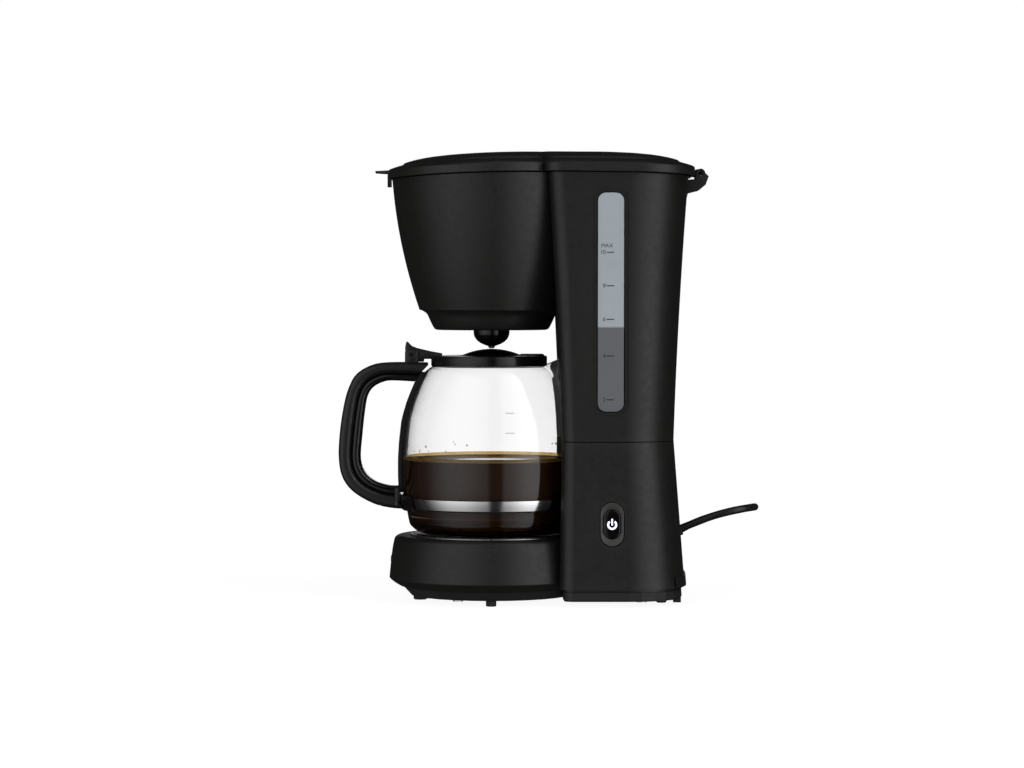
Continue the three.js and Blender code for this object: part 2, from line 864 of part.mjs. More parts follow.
function tankOutlet() {
  const low = seamHeight - 10;
  const flange = seamHeight + 3 + gap;
  return cut(
    joined(
      upright(hoseRadius, low, flange + 1, outletX, outletDepth),
      upright(hoseRadius + 4, flange, flange + 2, outletX, outletDepth),
    ),
    upright(hoseBore, low - 1, flange + 4, outletX, outletDepth),
  );
}

const valveHigh = 88;
const valveLow = 68;

function inletHose() {
  const top = seamHeight - 10 - gap;
  return swept(curveThrough([
    [outletX, outletDepth, top],
    [outletX, outletDepth, (top + valveHigh) / 2],
    [outletX, outletDepth, valveHigh + gap],
  ]), hoseRadius, hoseBore, 4, 14);
}

// A one-way valve stops hot water being pushed back into the tank.
function checkValve() {
  const chamber = hoseRadius + 1.2;
  return cut(
    upright(hoseRadius + 2.8, valveLow, valveHigh, outletX, outletDepth),
    upright(hoseBore - 1, valveLow - 1, valveHigh + 1, outletX, outletDepth),
    upright(chamber, valveLow + 4, valveHigh - 4, outletX, outletDepth),
  );
}

function checkBall() {
  const sphere = new THREE.SphereGeometry(ballRadius, 12, 7);
  return solid(sphere.translate(outletX, outletDepth, valveLow + 4 + ballRadius + gap));
}

const heaterEndAngle = 0.62;
const heaterEnd = [heaterRadius * Math.sin(heaterEndAngle), heaterRadius * Math.cos(heaterEndAngle)];

function feedHose() {
  return swept(curveThrough([
    [outletX, outletDepth, valveLow - gap],
    [outletX, outletDepth, valveLow - 8],
    [-20, 84, podTop - 3.5],
    [-heaterEnd[0] - 3, heaterEnd[1] + 24, heaterHeight],
    [-heaterEnd[0] - 0.5, heaterEnd[1] + 13, heaterHeight],
  ]), hoseRadius, hoseBore, 10, 8);
}

function returnHose() {
  return swept(curveThrough([
    [heaterEnd[0] + 0.5, heaterEnd[1] + 13, heaterHeight],
    [heaterEnd[0] + 4, heaterEnd[1] + 28, heaterHeight],
    [26, 84, 46],
    [14, 88, 66],
    [-14, 82, 88],
    [riserX + 8, riserDepth + 9, 96],
    [riserX, riserDepth, seamHeight - 14],
    [riserX, riserDepth, seamHeight - 8 - gap],
  ]), hoseRadius, hoseBore, 16, 8);
}

// The water heater is a horseshoe of aluminium under the plate, open at the back.
function heater() {
  const points = [];
  for (let i = 0; i <= 16; i += 1) {
    const angle = heaterEndAngle + (i / 16) * (2 * Math.PI - 2 * heaterEndAngle);
    points.push([-heaterRadius * Math.sin(angle), heaterRadius * Math.cos(angle), heaterHeight]);
  }
  const body = swept(curveThrough(points), 6, 3.4, 14, 8);
  const stubs = [-1, 1].map((side) => swept(curveThrough([
    [side * heaterEnd[0], heaterEnd[1], heaterHeight],
    [side * heaterEnd[0], heaterEnd[1] + 6, heaterHeight],
    [side * heaterEnd[0], heaterEnd[1] + 12.5, heaterHeight],
  ]), 3.7, 2.4, 3, 12));
  return joined(body, ...stubs);
}

function heaterClamp() {
  const low = heaterHeight - 6 - gap - 3;
  const high = low + 3;
  return cut(
    joined(box(-58, 58, -7, 7, low, high), box(-9, 9, -9, 9, low, high + 6)),
    upright(2.4, 0, 60),
    upright(2.4, 0, 60, -54, 0, 16),
    upright(2.4, 0, 60, 54, 0, 16),
  );
}

const clampLow = heaterHeight - 6 - gap - 3;

function clampScrew(x) {
  return joined(
    upright(2, clampLow - 0.5, clampLow + 8, x, 0, 16),
    upright(4, clampLow - gap - 2.2, clampLow - gap, x, 0, 16),
  );
}

function thermostat() {
  return joined(
    upright(8, clampLow + 9.6, clampLow + 15, -22, 0, 24),
    upright(5.5, clampLow + 5, clampLow + 9.8, -22, 0, 20),
  );
}

function thermalFuse() {
  const body = new THREE.CylinderGeometry(2.2, 2.2, 22, 12);
  const leads = new THREE.CylinderGeometry(0.7, 0.7, 40, 8);
  const middle = [22, 0, clampLow + 8];
  return joined(solid(body.translate(...middle)), solid(leads.translate(...middle)));
}

// ---------------------------------------------------------------- feet and fasteners

function foot(x, depth, radius) {
  return turned([[radius - 0.6, 0], [radius, 0.6], [radius, footHeight - gap / 2]], coarse, x, depth);
}

function coverScrew(x, depth) {
  const low = footHeight - 2.4;
  return upright(3.6, low, low + 2.2, x, depth);
}

function bandScrew() {
  const reach = glassMaxRadius + 2 * gap + strapThickness;
  const head = new THREE.CylinderGeometry(2.6, 2.6, 1.8, coarse);
  head.rotateX(Math.PI / 2);
  return solid(head.translate(17, -Math.sqrt(reach * reach - 17 * 17) - 1.4, (bandLow + bandHigh) / 2));
}

// ---------------------------------------------------------------- hot plate, switch, cord fittings

function hotPlate() {
  const high = podTop + plateRise;
  return turned([
    [plateRadius - 6, high - plateThickness],
    [plateRadius, high - plateThickness],
    [plateRadius, high - 0.6],
    [plateRadius - 0.6, high],
    [plateRadius - 3.5, high],
    [plateRadius - 4.5, high - 0.5],
  ], fine);
}

function plateSeal() {
  const low = podTop - 3;
  return cut(
    turned([
      [plateRadius + sealWidth, low],
      [plateRadius + sealWidth, podTop + 0.5],
      [plateRadius + sealWidth - 0.8, podTop + 0.9],
    ], fine),
    upright(plateRadius + gap, low + 0.6, 60, 0, 0, fine),
    upright(plateRadius - 2, 0, 60, 0, 0, medium),
  );
}

// The outside of the column's side wall at the height of the switch.
const switchFace = halfWidthAt(switchHeight);

function switchBezel() {
  return cut(
    joined(
      sideways(
        stadium(switchDepth, switchHeight, bezelWidth, bezelLength),
        switchFace - wall - 1.2,
        switchFace - 0.4,
      ),
      sideways(
        stadium(switchDepth, switchHeight, bezelWidth + 4, bezelLength + 4),
        switchFace - wall - 3,
        switchFace - wall - 0.8,
      ),
    ),
    sideways(stadium(switchDepth, switchHeight, buttonWidth + 2 * gap, buttonLength + 2 * gap), ...sideReach),
  );
}

function powerButton() {
  return cut(
    joined(
      sideways(
        stadium(switchDepth, switchHeight, buttonWidth, buttonLength),
        switchFace - wall - 2,
        switchFace + 0.2,
        { bevel: 0.5, bevelSegments: 1 },
      ),
      crossBar(3, switchFace - wall - 7, switchFace - wall - 1.9, switchDepth, switchHeight, 16),
    ),
    crossBar(4 + gap / 2, switchFace - 0.5, 90, switchDepth, switchHeight, 24),
  );
}

function buttonLens() {
  return crossBar(4 - gap / 2, switchFace - 0.5 + gap, switchFace + 0.2, switchDepth, switchHeight, 24);
}

function switchBody() {
  const face = switchFace - wall - 7 - gap - buttonTravel;
  return joined(
    box(face - 16, face, switchDepth - 9, switchDepth + 9, switchHeight - 13, switchHeight + 13),
    box(face - 24, face - 15, switchDepth - 6, switchDepth - 5, switchHeight - 4, switchHeight + 4),
    box(face - 24, face - 15, switchDepth + 5, switchDepth + 6, switchHeight - 4, switchHeight + 4),
  );
}

const cordDirection = [0, Math.cos(cordRiseAngle), Math.sin(cordRiseAngle)];
const cordExitDepth = backAt(cordExitHeight);

function alongCord(distance) {
  return [0, cordExitDepth + cordDirection[1] * distance, cordExitHeight + cordDirection[2] * distance];
}

// A cone or rod along the line on which the cord leaves the column.
function onCordLine(from, to, radiusFrom, radiusTo, segments = coarse) {
  const geometry = new THREE.CylinderGeometry(radiusTo, radiusFrom, to - from, segments);
  geometry.rotateX(cordRiseAngle);
  return solid(geometry.translate(...alongCord((from + to) / 2)));
}

function cordBore() {
  return onCordLine(-12, 12, 5.2, 5.2);
}

function cordGland() {
  return cut(
    joined(
      onCordLine(-8, bushingReach, 4.9, 4.9),
      onCordLine(-8, -5, 7.5, 7.5),
    ),
    onCordLine(-9, bushingReach + 1, cordRadius + gap, cordRadius + gap, 16),
  );
}

// Points along the cord between its bushing and its coil.
const cordPoints = [
  alongCord(-7.5),
  alongCord(11),
  alongCord(23),
  [0, 170, 63.3],
  [-2, 180, 65.4],
  [-8.5, 188.5, 66.3],
  [-20, 193.5, 66.2],
  [-34, 192, 65],
  [-47, 185, 62.6],
  [-58, 174, 59.3],
  [-67, 161, 54.8],
  [-74.5, 148, 48.8],
  [-81, 135, 40.5],
  [-87, 123, 30],
  [-92.5, 111.5, 18.6],
  [-97.5, 101, 9.4],
  [-101, 91.5, 4.3],
  [-102.5, 83, cordRadius + gap],
];

// Points along the cord between its coil and its plug.
const tailPoints = [
  [-122.5, 19.5, 9],
  [-134, 8.5, 9.8],
  [-146, -3, 13],
  [-154, -12.5, 16.6],
  [plugX, plugDepth + 5, plugHeight],
  [plugX, plugDepth + 0.5, plugHeight],
];

// ---------------------------------------------------------------- carafe

function carafeGlass() {
  const outline = glassOutline(0);
  const foot = glassMaxRadius - 12;
  const outside = [[foot - 5, carafeBottom], [foot, carafeBottom + 0.6], ...outline];
  const inner = glassOutline(-glassWall);
  const inside = [[foot - 9, carafeBottom + 3.4], [foot - 3, carafeBottom + 4.2], ...inner.slice(1)];
  const rim = inner[inner.length - 1];
  inside.push([rim[0], rim[1] + 4]);
  const shell = cut(turned(outside, fine), turned(inside, fine));
  return spouted(shell);
}

// Pulls the glass's rim outwards and upwards towards the column, as a pouring lip.
function spouted(shell) {
  const geometry = geometryOf(shell);
  reshape(geometry, (x, y, z) => {
    const turn = Math.atan2(Math.abs(x), y);
    const side = Math.max(0, Math.cos(Math.min(turn * 3.4, Math.PI / 2)));
    const up = THREE.MathUtils.smoothstep(z, glassTop - 9, glassTop);
    const radius = Math.hypot(x, y);
    const reach = radius > 1 ? 1 + spoutReach * side * up / radius : 1;
    return [x * reach, y * reach, z + spoutRise * side * up];
  });
  return solid(geometry);
}

function carafeLid() {
  const low = glassTop + gap;
  const offset = carafeLidOffset;
  const disc = turned([
    [carafeLidRadius - 0.8, low],
    [carafeLidRadius, low + 0.8],
    [carafeLidRadius, carafeLidTop - 1.2],
    [carafeLidRadius - 1.2, carafeLidTop],
  ], medium, 0, offset);
  const dome = [];
  for (let i = 0; i <= 6; i += 1) {
    const share = 1 - i / 6;
    dome.push([Math.max(domeRadius * share, 0.01), carafeLidTop + domeRise * (1 - share * share)]);
  }
  dome.unshift([domeRadius, carafeLidTop - 1]);
  const under = turned([
    [carafeLidRadius - 3, low - 1.5],
    [carafeLidRadius - 3, low + 2],
    [carafeLidRadius - 4, low + 5],
  ], medium, 0, offset);
  const skirtRadius = glassNeckRadius - glassWall - 2.8;
  const skirt = cut(
    upright(skirtRadius, low - 2, low + 2, 0, 0, medium),
    upright(skirtRadius - wall, low - 6, low + 3, 0, 0, medium),
  );
  const stop = box(-7, 7, 20, carafeLidRadius + offset - 1.6, carafeLidTop - 2, carafeLidTop + 1.4);
  const spoutRoom = box(-11, 11, carafeLidRadius + offset - 0.4, 60, low - 2, carafeLidTop + 4);
  const underside = cut(disc, cut(under, upright(skirtRadius + 0.1, 0, 300, 0, 0, medium)));
  return cut(
    joined(underside, skirt, turned(dome, medium), stop, lidLever()),
    spoutRoom,
    crossBar(lidPivotPinRadius + gap, -20, 20, lidPivotDepth, lidPivotHeight),
  );
}

// The thumb lever that tips the carafe's lid about its pin.
function lidLever() {
  return sideways(shapeOf([
    [lidPivotDepth - 4.6, lidPivotHeight + 4.2],
    [lidPivotDepth - 3.2, lidPivotHeight + 9.7],
    [lidPivotDepth + 0.4, lidPivotHeight + 6],
    [lidPivotDepth + 8.4, lidPivotHeight + 3.6],
    [lidPivotDepth + 22.4, lidPivotHeight + 1],
    [lidPivotDepth + 22.4, lidPivotHeight - 3.2],
    [lidPivotDepth + 9.2, lidPivotHeight - 3.2],
    [lidPivotDepth + 9.2, lidPivotHeight - 5.3],
    [lidPivotDepth + 4.6, lidPivotHeight - 5.3],
    [lidPivotDepth, lidPivotHeight - 3.4],
    [lidPivotDepth - 3.4, lidPivotHeight - 1.6],
  ]), -4.2, 4.2);
}

function carafeHandle() {
  const shell = handlePart(0, 0.55, handleWidth, handleRound);
  const earOutline = shapeOf([
    [lidPivotDepth - 4.6, 168],
    [lidPivotDepth - 4.4, lidPivotHeight + 2.4],
    [lidPivotDepth - 3.2, lidPivotHeight + 3.5],
    [lidPivotDepth + 3.8, lidPivotHeight + 3.5],
    [lidPivotDepth + 4.9, lidPivotHeight + 2.4],
    [lidPivotDepth + 4.9, 168],
  ]);
  const bore = crossBar(lidPivotPinRadius + gap, -20, 20, lidPivotDepth, lidPivotHeight);
  const ears = [sideways(earOutline, 4.5, 7.6), sideways(earOutline, -7.6, -4.5)];
  const leverRoom = box(-4.5, 4.5, lidPivotDepth - 7, -40, lidPivotHeight - 5.6, 200);
  return cut(joined(shell, ...ears), bore, leverRoom);
}

function handleInsert() {
  return handlePart(0.58, 1, handleWidth - 6, 1.8);
}

function nearGlass(from, to, xHalf, low, high) {
  return cut(aroundGlass(to), aroundGlass(from)).intersect(box(-xHalf, xHalf, -100, 0, low, high));
}

function handleStrap() {
  return nearGlass(gap, gap + strapThickness, strapHalfWidth, bandHigh + 4, 165.8);
}

function carafeBand() {
  const ring = cut(aroundGlass(gap + bandThickness), aroundGlass(gap));
  return ring.intersect(upright(100, bandLow, bandHigh, 0, 0, 8));
}

function bandClamp() {
  const from = 2 * gap + bandThickness;
  return nearGlass(from, gap + strapThickness, 29, bandLow - 1.4, bandHigh + 1.4);
}

// ---------------------------------------------------------------- cord

function powerCord() {
  return swept(curveThrough(cordPoints), cordRadius, 0, 40, 8);
}

function cordCoil() {
  const width = 2 * cordRadius + 0.4;
  return turnedRing(coilRadius - width, coilRadius + width, gap, gap + 2 * width);
}

function cordTail() {
  return swept(curveThrough(tailPoints), cordRadius, 0, 14, 8);
}

// A rod or cone lying along -Y from the plug's back, at a distance to each end.
function onPlugLine(from, to, radiusFrom, radiusTo, x = plugX, segments = medium) {
  const geometry = new THREE.CylinderGeometry(radiusFrom, radiusTo, to - from, segments);
  return solid(geometry.translate(x, plugDepth - (from + to) / 2, plugHeight));
}

function pinSocket(side) {
  const radius = plugPinRadius + gap;
  return onPlugLine(plugLength - 8, plugLength + 1, radius, radius, plugX + side * plugPinSpan / 2, coarse);
}

function plug() {
  const grip = plugLength - 14;
  return cut(
    joined(
      onPlugLine(0, 14, 5, 8),
      onPlugLine(13, grip, 11, 15),
      onPlugLine(grip - 0.5, plugLength, plugRadius, plugRadius),
    ),
    onPlugLine(-1, 12, cordRadius + gap, cordRadius + gap, plugX, coarse),
    pinSocket(-1),
    pinSocket(1),
  );
}

function plugPin(side) {
  const low = plugLength - 8 + gap;
  const tip = plugLength + plugPinLength;
  return onPlugLine(low, tip, plugPinRadius, plugPinRadius, plugX + side * plugPinSpan / 2, coarse);
}

function turnedRing(inner, outer, low, high) {
  const ring = cut(
    upright(outer, low, high, 0, 0, medium),
    upright(inner, low - 1, high + 1, 0, 0, medium),
  );
  return ring.translate([coilX, coilDepth, 0]);
}

// ---------------------------------------------------------------- materials

function finish(color, roughness, metalness = 0, opacity = 1) {
  return () => new THREE.MeshStandardMaterial({
    color,
    roughness,
    metalness,
    opacity,
    transparent: opacity < 1,
  });
}

const satinBlack = finish(0x1c1c1d, 0.42);
const glossBlack = finish(0x0e0e0f, 0.12);
const softBlack = finish(0x202022, 0.7);
const heatBlack = finish(0x121212, 0.35, 0.3);
const steel = finish(0xc9cbcc, 0.18, 1);
const aluminium = finish(0xb4b6b8, 0.4, 1);
const clearGlass = finish(0xeef3f3, 0.03, 0, 0.35);
const greyWindow = finish(0xa4aeb6, 0.25, 0, 0.6);
const silicone = finish(0xd8d4ca, 0.6);
const naturalPlastic = finish(0xe6e4dc, 0.5);
const whiteCeramic = finish(0xf0eee8, 0.5);
const lamp = finish(0xf4f0ff, 0.3);

// ---------------------------------------------------------------- assembly

const group = new THREE.Group();
group.name = 'drip_coffee_maker';
const brewAxis = new THREE.Group();
brewAxis.position.y = brewAxisY;
group.add(brewAxis);

function place(name, body, material) {
  const mesh = new THREE.Mesh(geometryOf(body), material());
  mesh.name = name;
  brewAxis.add(mesh);
}

place('base_housing', baseHousing(), satinBlack);
place('bottom_cover', bottomCover(), softBlack);
place('tank_housing', tankHousing(), satinBlack);
place('filter_housing', filterHousing(), satinBlack);
place('lid', lid(), satinBlack);
const feet = [
  ['front', 0, frontFootDepth, frontFootRadius],
  ['left', -sideFootHalfSpan, 0, footRadius],
  ['right', sideFootHalfSpan, 0, footRadius],
  ['rear_left', -rearFootHalfSpan, rearFootDepth, footRadius],
  ['rear_right', rearFootHalfSpan, rearFootDepth, footRadius],
];
for (const [where, x, depth, radius] of feet) {
  place(`foot_${where}`, foot(x, depth, radius), softBlack);
}
for (const [where, side] of [['left', -1], ['right', 1]]) {
  place(`cover_screw_front_${where}`, coverScrew(side * 34, -24), steel);
  place(`cover_screw_rear_${where}`, coverScrew(side * 40, 108), steel);
  place(`clamp_screw_${where}`, clampScrew(side * 54), steel);
  place(`plug_pin_${where}`, plugPin(side), steel);
}
place('lid_hinge_pin', crossBar(hingePinRadius, -12, 12, hingeDepth, hingeHeight), steel);
place('gauge_window', gaugeWindow(), greyWindow);

place('filter_basket', filterBasket(), softBlack);
place('basket_handle', basketHandle(), softBlack);
place('drip_nozzle', dripNozzle(), glossBlack);
place('drip_stop_pin', dripStopPin(), glossBlack);
place('drip_spring', dripSpring(), steel);

place('riser_tube', riserTube(), naturalPlastic);
place('spout_arm', spoutArm(), naturalPlastic);
place('shower_head', showerHead(), naturalPlastic);
place('tank_outlet', tankOutlet(), silicone);
place('inlet_hose', inletHose(), silicone);
place('check_valve', checkValve(), naturalPlastic);
place('check_ball', checkBall(), steel);
place('feed_hose', feedHose(), silicone);
place('return_hose', returnHose(), silicone);

place('hot_plate', hotPlate(), heatBlack);
place('plate_seal', plateSeal(), steel);
place('heater', heater(), aluminium);
place('heater_clamp', heaterClamp(), steel);
place('thermostat', thermostat(), whiteCeramic);
place('thermal_fuse', thermalFuse(), whiteCeramic);

place('switch_bezel', switchBezel(), softBlack);
place('power_button', powerButton(), glossBlack);
place('button_lens', buttonLens(), lamp);
place('switch_body', switchBody(), softBlack);

place('cord_gland', cordGland(), softBlack);
place('power_cord', powerCord(), softBlack);
place('cord_coil', cordCoil(), softBlack);
place('cord_tail', cordTail(), softBlack);
place('plug', plug(), softBlack);

place('carafe_glass', carafeGlass(), clearGlass);
place('carafe_lid', carafeLid(), glossBlack);
place('carafe_lid_pin', crossBar(lidPivotPinRadius, -7.6, 7.6, lidPivotDepth, lidPivotHeight), steel);
place('carafe_handle', carafeHandle(), satinBlack);
place('handle_insert', handleInsert(), glossBlack);
place('handle_strap', handleStrap(), softBlack);
place('carafe_band', carafeBand(), steel);
place('band_clamp', bandClamp(), softBlack);
place('band_screw', bandScrew(), steel);

export default group;
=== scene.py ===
"""Looks for the drip coffee maker: camera, light, cord, fine casings and materials."""
import math
import random

import bmesh
import bpy
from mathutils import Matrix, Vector

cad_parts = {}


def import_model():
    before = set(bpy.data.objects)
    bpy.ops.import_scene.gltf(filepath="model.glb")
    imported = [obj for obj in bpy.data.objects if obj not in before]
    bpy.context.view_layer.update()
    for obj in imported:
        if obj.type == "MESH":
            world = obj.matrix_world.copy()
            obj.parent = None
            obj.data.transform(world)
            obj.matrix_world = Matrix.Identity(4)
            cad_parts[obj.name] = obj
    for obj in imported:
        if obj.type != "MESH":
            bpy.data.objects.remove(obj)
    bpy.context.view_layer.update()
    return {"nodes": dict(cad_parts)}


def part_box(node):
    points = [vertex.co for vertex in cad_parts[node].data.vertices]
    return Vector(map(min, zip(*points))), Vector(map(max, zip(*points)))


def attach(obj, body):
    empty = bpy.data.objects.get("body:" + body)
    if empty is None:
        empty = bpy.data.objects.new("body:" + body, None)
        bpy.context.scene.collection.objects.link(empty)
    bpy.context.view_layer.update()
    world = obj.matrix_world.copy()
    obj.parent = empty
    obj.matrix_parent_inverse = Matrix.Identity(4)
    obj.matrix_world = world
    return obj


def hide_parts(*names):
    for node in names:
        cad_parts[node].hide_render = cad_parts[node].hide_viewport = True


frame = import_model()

MM = 0.001
nodes = frame["nodes"]


def node_box(name):
    """A CAD node's lowest and highest corners in millimetres."""
    low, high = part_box(name)
    return low / MM, high / MM


# ---------------------------------------------------------------- measures, millimetres
# Depths are measured backwards from the vertical axis that the brew head and carafe share.

PLATE_LOW, PLATE_HIGH = node_box("hot_plate")
AXIS_Y = (PLATE_LOW.y + PLATE_HIGH.y) / 2
GAP = 0.3
WALL = 2.4
PANE_GAP = 0.7
SEAM = node_box("tank_housing")[0].z
COLUMN_FRONT = 50.5
COLUMN_BACK = 132.2
COLUMN_HALF = 65.0
FRONT_CORNER = 9.5
BACK_CORNER = 37.0
BACK_BOW = 0.07
RECESS = 69.5
POD_TOP = 47.5
POD_RADIUS = 74.4
HEAD_STEP = 211.2
ARCH_TOP = 310.0
ARCH_CENTRE = 50.0
ARCH_CURVE = 2.35e-4
HINGE_DEPTH = 151.7
HINGE_HEIGHT = 310.3
LID_RIM = 75.4
LID_OVERHANG = 3.3
LID_NOTCH = 34.0
GLASS_TOP = 169.9
COFFEE_TOP = 102.2
WATER_TOP = 199.3
CORE_TOP = 325 # above everything, for cutters
FINE = 160 # segments round a large turned piece
BASE_FINE = 176

# How the column widens away from the seam, and how the head narrows downwards.
LOWER_FLARE = 0.0775
UPPER_FLARE = 0.0326
UPPER_FLARE_CURVE = 1.18e-4
SIDE_FLARE_SHARE = 0.45
LOWER_FRONT_SHARE = 0.22
UPPER_FRONT_SHARE = 0.95
HEAD_TOP_RADIUS = 71.6
HEAD_REFERENCE = 300
HEAD_TAPER = 0.0911
HEAD_CURVE = 0.0014


def flare(z):
    rise = z - SEAM
    if rise < 0:
        return -rise * LOWER_FLARE
    return rise * UPPER_FLARE + rise * rise * UPPER_FLARE_CURVE


def half_width(z):
    return COLUMN_HALF + SIDE_FLARE_SHARE * flare(z)


def front_at(z):
    return COLUMN_FRONT - flare(z) * (LOWER_FRONT_SHARE if z < SEAM else UPPER_FRONT_SHARE)


def back_at(z):
    return COLUMN_BACK + flare(z)


def head_radius(z):
    drop = HEAD_REFERENCE - z
    return HEAD_TOP_RADIUS - HEAD_TAPER * drop - HEAD_CURVE * drop * drop


def arch_at(depth):
    return ARCH_TOP - ARCH_CURVE * (depth - ARCH_CENTRE) ** 2


# ---------------------------------------------------------------- mesh helpers

AXIS_HOLE = 0.02 # a turned piece's least radius, so that its middle keeps whole faces


def world(x, depth, z):
    return (x * MM, (AXIS_Y + depth) * MM, z * MM)


def make_object(name, points, faces):
    mesh = bpy.data.meshes.new(name)
    mesh.from_pydata([world(*p) for p in points], [], faces)
    shape = bmesh.new()
    shape.from_mesh(mesh)
    bmesh.ops.remove_doubles(shape, verts=shape.verts, dist=1e-7)
    bmesh.ops.recalc_face_normals(shape, faces=shape.faces)
    shape.to_mesh(mesh)
    shape.free()
    obj = bpy.data.objects.new(name, mesh)
    bpy.context.scene.collection.objects.link(obj)
    return obj


def smooth(obj, angle=28):
    obj.data.shade_smooth()
    obj.data.set_sharp_from_angle(angle=math.radians(angle))
    return obj


def loft(name, rings, closed=False):
    """A surface through rings that have the same number of points each."""
    count = len(rings[0])
    points = [p for ring in rings for p in ring]
    faces = []
    spans = len(rings) if closed else len(rings) - 1
    for level in range(spans):
        base, above = level * count, ((level + 1) % len(rings)) * count
        for i in range(count):
            j = (i + 1) % count
            faces.append((base + i, base + j, above + j, above + i))
    if not closed:
        faces.append(tuple(reversed(range(count))))
        faces.append(tuple(range((len(rings) - 1) * count, len(rings) * count)))
    return make_object(name, points, faces)


def ring(radius, z, segments=FINE, depth=0):
    turn = 2 * math.pi / segments
    return [
        (radius * math.cos(i * turn), depth + radius * math.sin(i * turn), z)
        for i in range(segments)
    ]


def circle(depth, z, radius, segments=16):
    """A round outline of (depth, height) points."""
    turn = 2 * math.pi / segments
    return [
        (depth + radius * math.cos(i * turn), z + radius * math.sin(i * turn))
        for i in range(segments)
    ]


def arc(u, v, radius, first, last, steps):
    """Points on an arc about (u, v), from the first angle to the last, both in radians."""
    angles = between(first, last, steps)
    return [(u + radius * math.cos(angle), v + radius * math.sin(angle)) for angle in angles]


def between(low, high, steps):
    return [low + (high - low) * i / steps for i in range(steps + 1)]


def lathe(name, profile, segments=FINE, closed=False, depth=0):
    """A turned piece: profile is (radius, height) points; closed joins its last to its first."""
    rings = [ring(max(r, AXIS_HOLE), z, segments, depth) for r, z in profile]
    return loft(name, rings, closed)


def blend(t, p, q, r, s):
    """The Catmull-Rom value between q and r."""
    square = (2 * p - 5 * q + 4 * r - s) * t * t
    cube = (3 * q - p - 3 * r + s) * t ** 3
    return 0.5 * (2 * q + (r - p) * t + square + cube)


def catmull(points, steps):
    """A smooth run of points through the given ones."""
    out = []
    ends = [points[0]] + list(points) + [points[-1]]
    for a, b, c, d in zip(ends, ends[1:], ends[2:], ends[3:]):
        for i in range(steps):
            t = i / steps
            out.append(tuple(blend(t, *values) for values in zip(a, b, c, d)))
    out.append(tuple(points[-1]))
    return out


def evaluated_mesh(obj):
    bpy.context.view_layer.update()
    graph = bpy.context.evaluated_depsgraph_get()
    return bpy.data.meshes.new_from_object(obj.evaluated_get(graph))


def apply_modifiers(obj):
    result = evaluated_mesh(obj)
    obj.modifiers.clear()
    obj.data = result


def boolean(obj, tool, operation="DIFFERENCE"):
    modifier = obj.modifiers.new("cut", "BOOLEAN")
    modifier.operation = operation
    modifier.solver = "EXACT"
    modifier.object = tool
    apply_modifiers(obj)
    bpy.data.objects.remove(tool)
    return obj


def prism(name, outline, x_low, x_high):
    """An outline of (depth, height) points extruded along X."""
    return loft(name, [[(x, d, z) for d, z in outline] for x in (x_low, x_high)])


def box(name, low, high):
    (x0, d0, z0), (x1, d1, z1) = low, high
    rings = [[(x0, d0, z), (x1, d0, z), (x1, d1, z), (x0, d1, z)] for z in (z0, z1)]
    return loft(name, rings)


def stadium(depth, z, width, length, steps=24):
    radius, straight = width / 2, (length - width) / 2
    top = arc(depth, z + straight, radius, 0, math.pi, steps)
    return top + arc(depth, z - straight, radius, math.pi, 2 * math.pi, steps)


def rounded_section(low, high, half, radius, steps=5):
    """A rounded rectangle: low to high on the first axis, plus and minus half on the second."""
    corners = [
        (high - radius, half - radius), (low + radius, half - radius),
        (low + radius, radius - half), (high - radius, radius - half),
    ]
    points = []
    for quarter, (u, v) in enumerate(corners):
        start = quarter * math.pi / 2
        points += arc(u, v, radius, start, start + math.pi / 2, steps)
    return points


def rounded_bar(depth, z, width, length, radius):
    section = rounded_section(-length / 2, length / 2, width / 2, radius, 10)
    return [(depth + u, z + v) for v, u in section]


def softened(obj, width, segments=2, angle=35):
    """Rounds the edges of a piece by a small real bevel."""
    modifier = obj.modifiers.new("edge", "BEVEL")
    modifier.width = width * MM
    modifier.segments = segments
    modifier.limit_method = "ANGLE"
    modifier.angle_limit = math.radians(angle)
    modifier.harden_normals = False
    apply_modifiers(obj)
    return obj


# ---------------------------------------------------------------- camera

CAMERA_DISTANCE = 2400
CAMERA_DEPTH = 14.9
EYE_HEIGHT = 225.5
CAMERA_PITCH = 1.63
LENS = 115.8


def add_camera():
    data = bpy.data.cameras.new("camera")
    data.lens = LENS
    data.sensor_width = 36
    data.clip_end = 50
    camera = bpy.data.objects.new("camera", data)
    camera.location = world(CAMERA_DISTANCE, CAMERA_DEPTH, EYE_HEIGHT)
    camera.rotation_euler = (math.radians(90 - CAMERA_PITCH), 0, math.radians(90))
    bpy.context.scene.collection.objects.link(camera)
    bpy.context.scene.camera = camera


add_camera()


# ---------------------------------------------------------------- cord

CORD_RADIUS = 2.75
CORD_RISE = 0.37
CORD_EXIT_Z = 51.6
COIL_X, COIL_DEPTH = -132, 58
PLUG_BACK = (-157, -24)
PLUG_Z = 17.8
COIL_OUTER, COIL_INNER = 33.9, 28.1
COIL_LOW = CORD_RADIUS + GAP
COIL_HIGH = COIL_LOW + 5.9


def along_cord(distance):
    depth = back_at(CORD_EXIT_Z) + distance * math.cos(CORD_RISE)
    return (0, depth, CORD_EXIT_Z + distance * math.sin(CORD_RISE))


def ease(value, start, end):
    t = min(max((value - start) / (end - start), 0), 1)
    return t * t * (3 - 2 * t)


def coil_points():
    """Just over three turns, clockwise from above: outer, inner, then outer on top."""
    points = []
    for degrees in range(-20, 1126, 9):
        inward = ease(degrees, 310, 350) - ease(degrees, 700, 760)
        radius = COIL_OUTER + (COIL_INNER - COIL_OUTER) * inward
        height = COIL_LOW + (COIL_HIGH - COIL_LOW) * ease(degrees, 590, 670)
        angle = math.radians(-degrees)
        x = COIL_X + radius * math.cos(angle)
        points.append((x, COIL_DEPTH + radius * math.sin(angle), height))
    return points


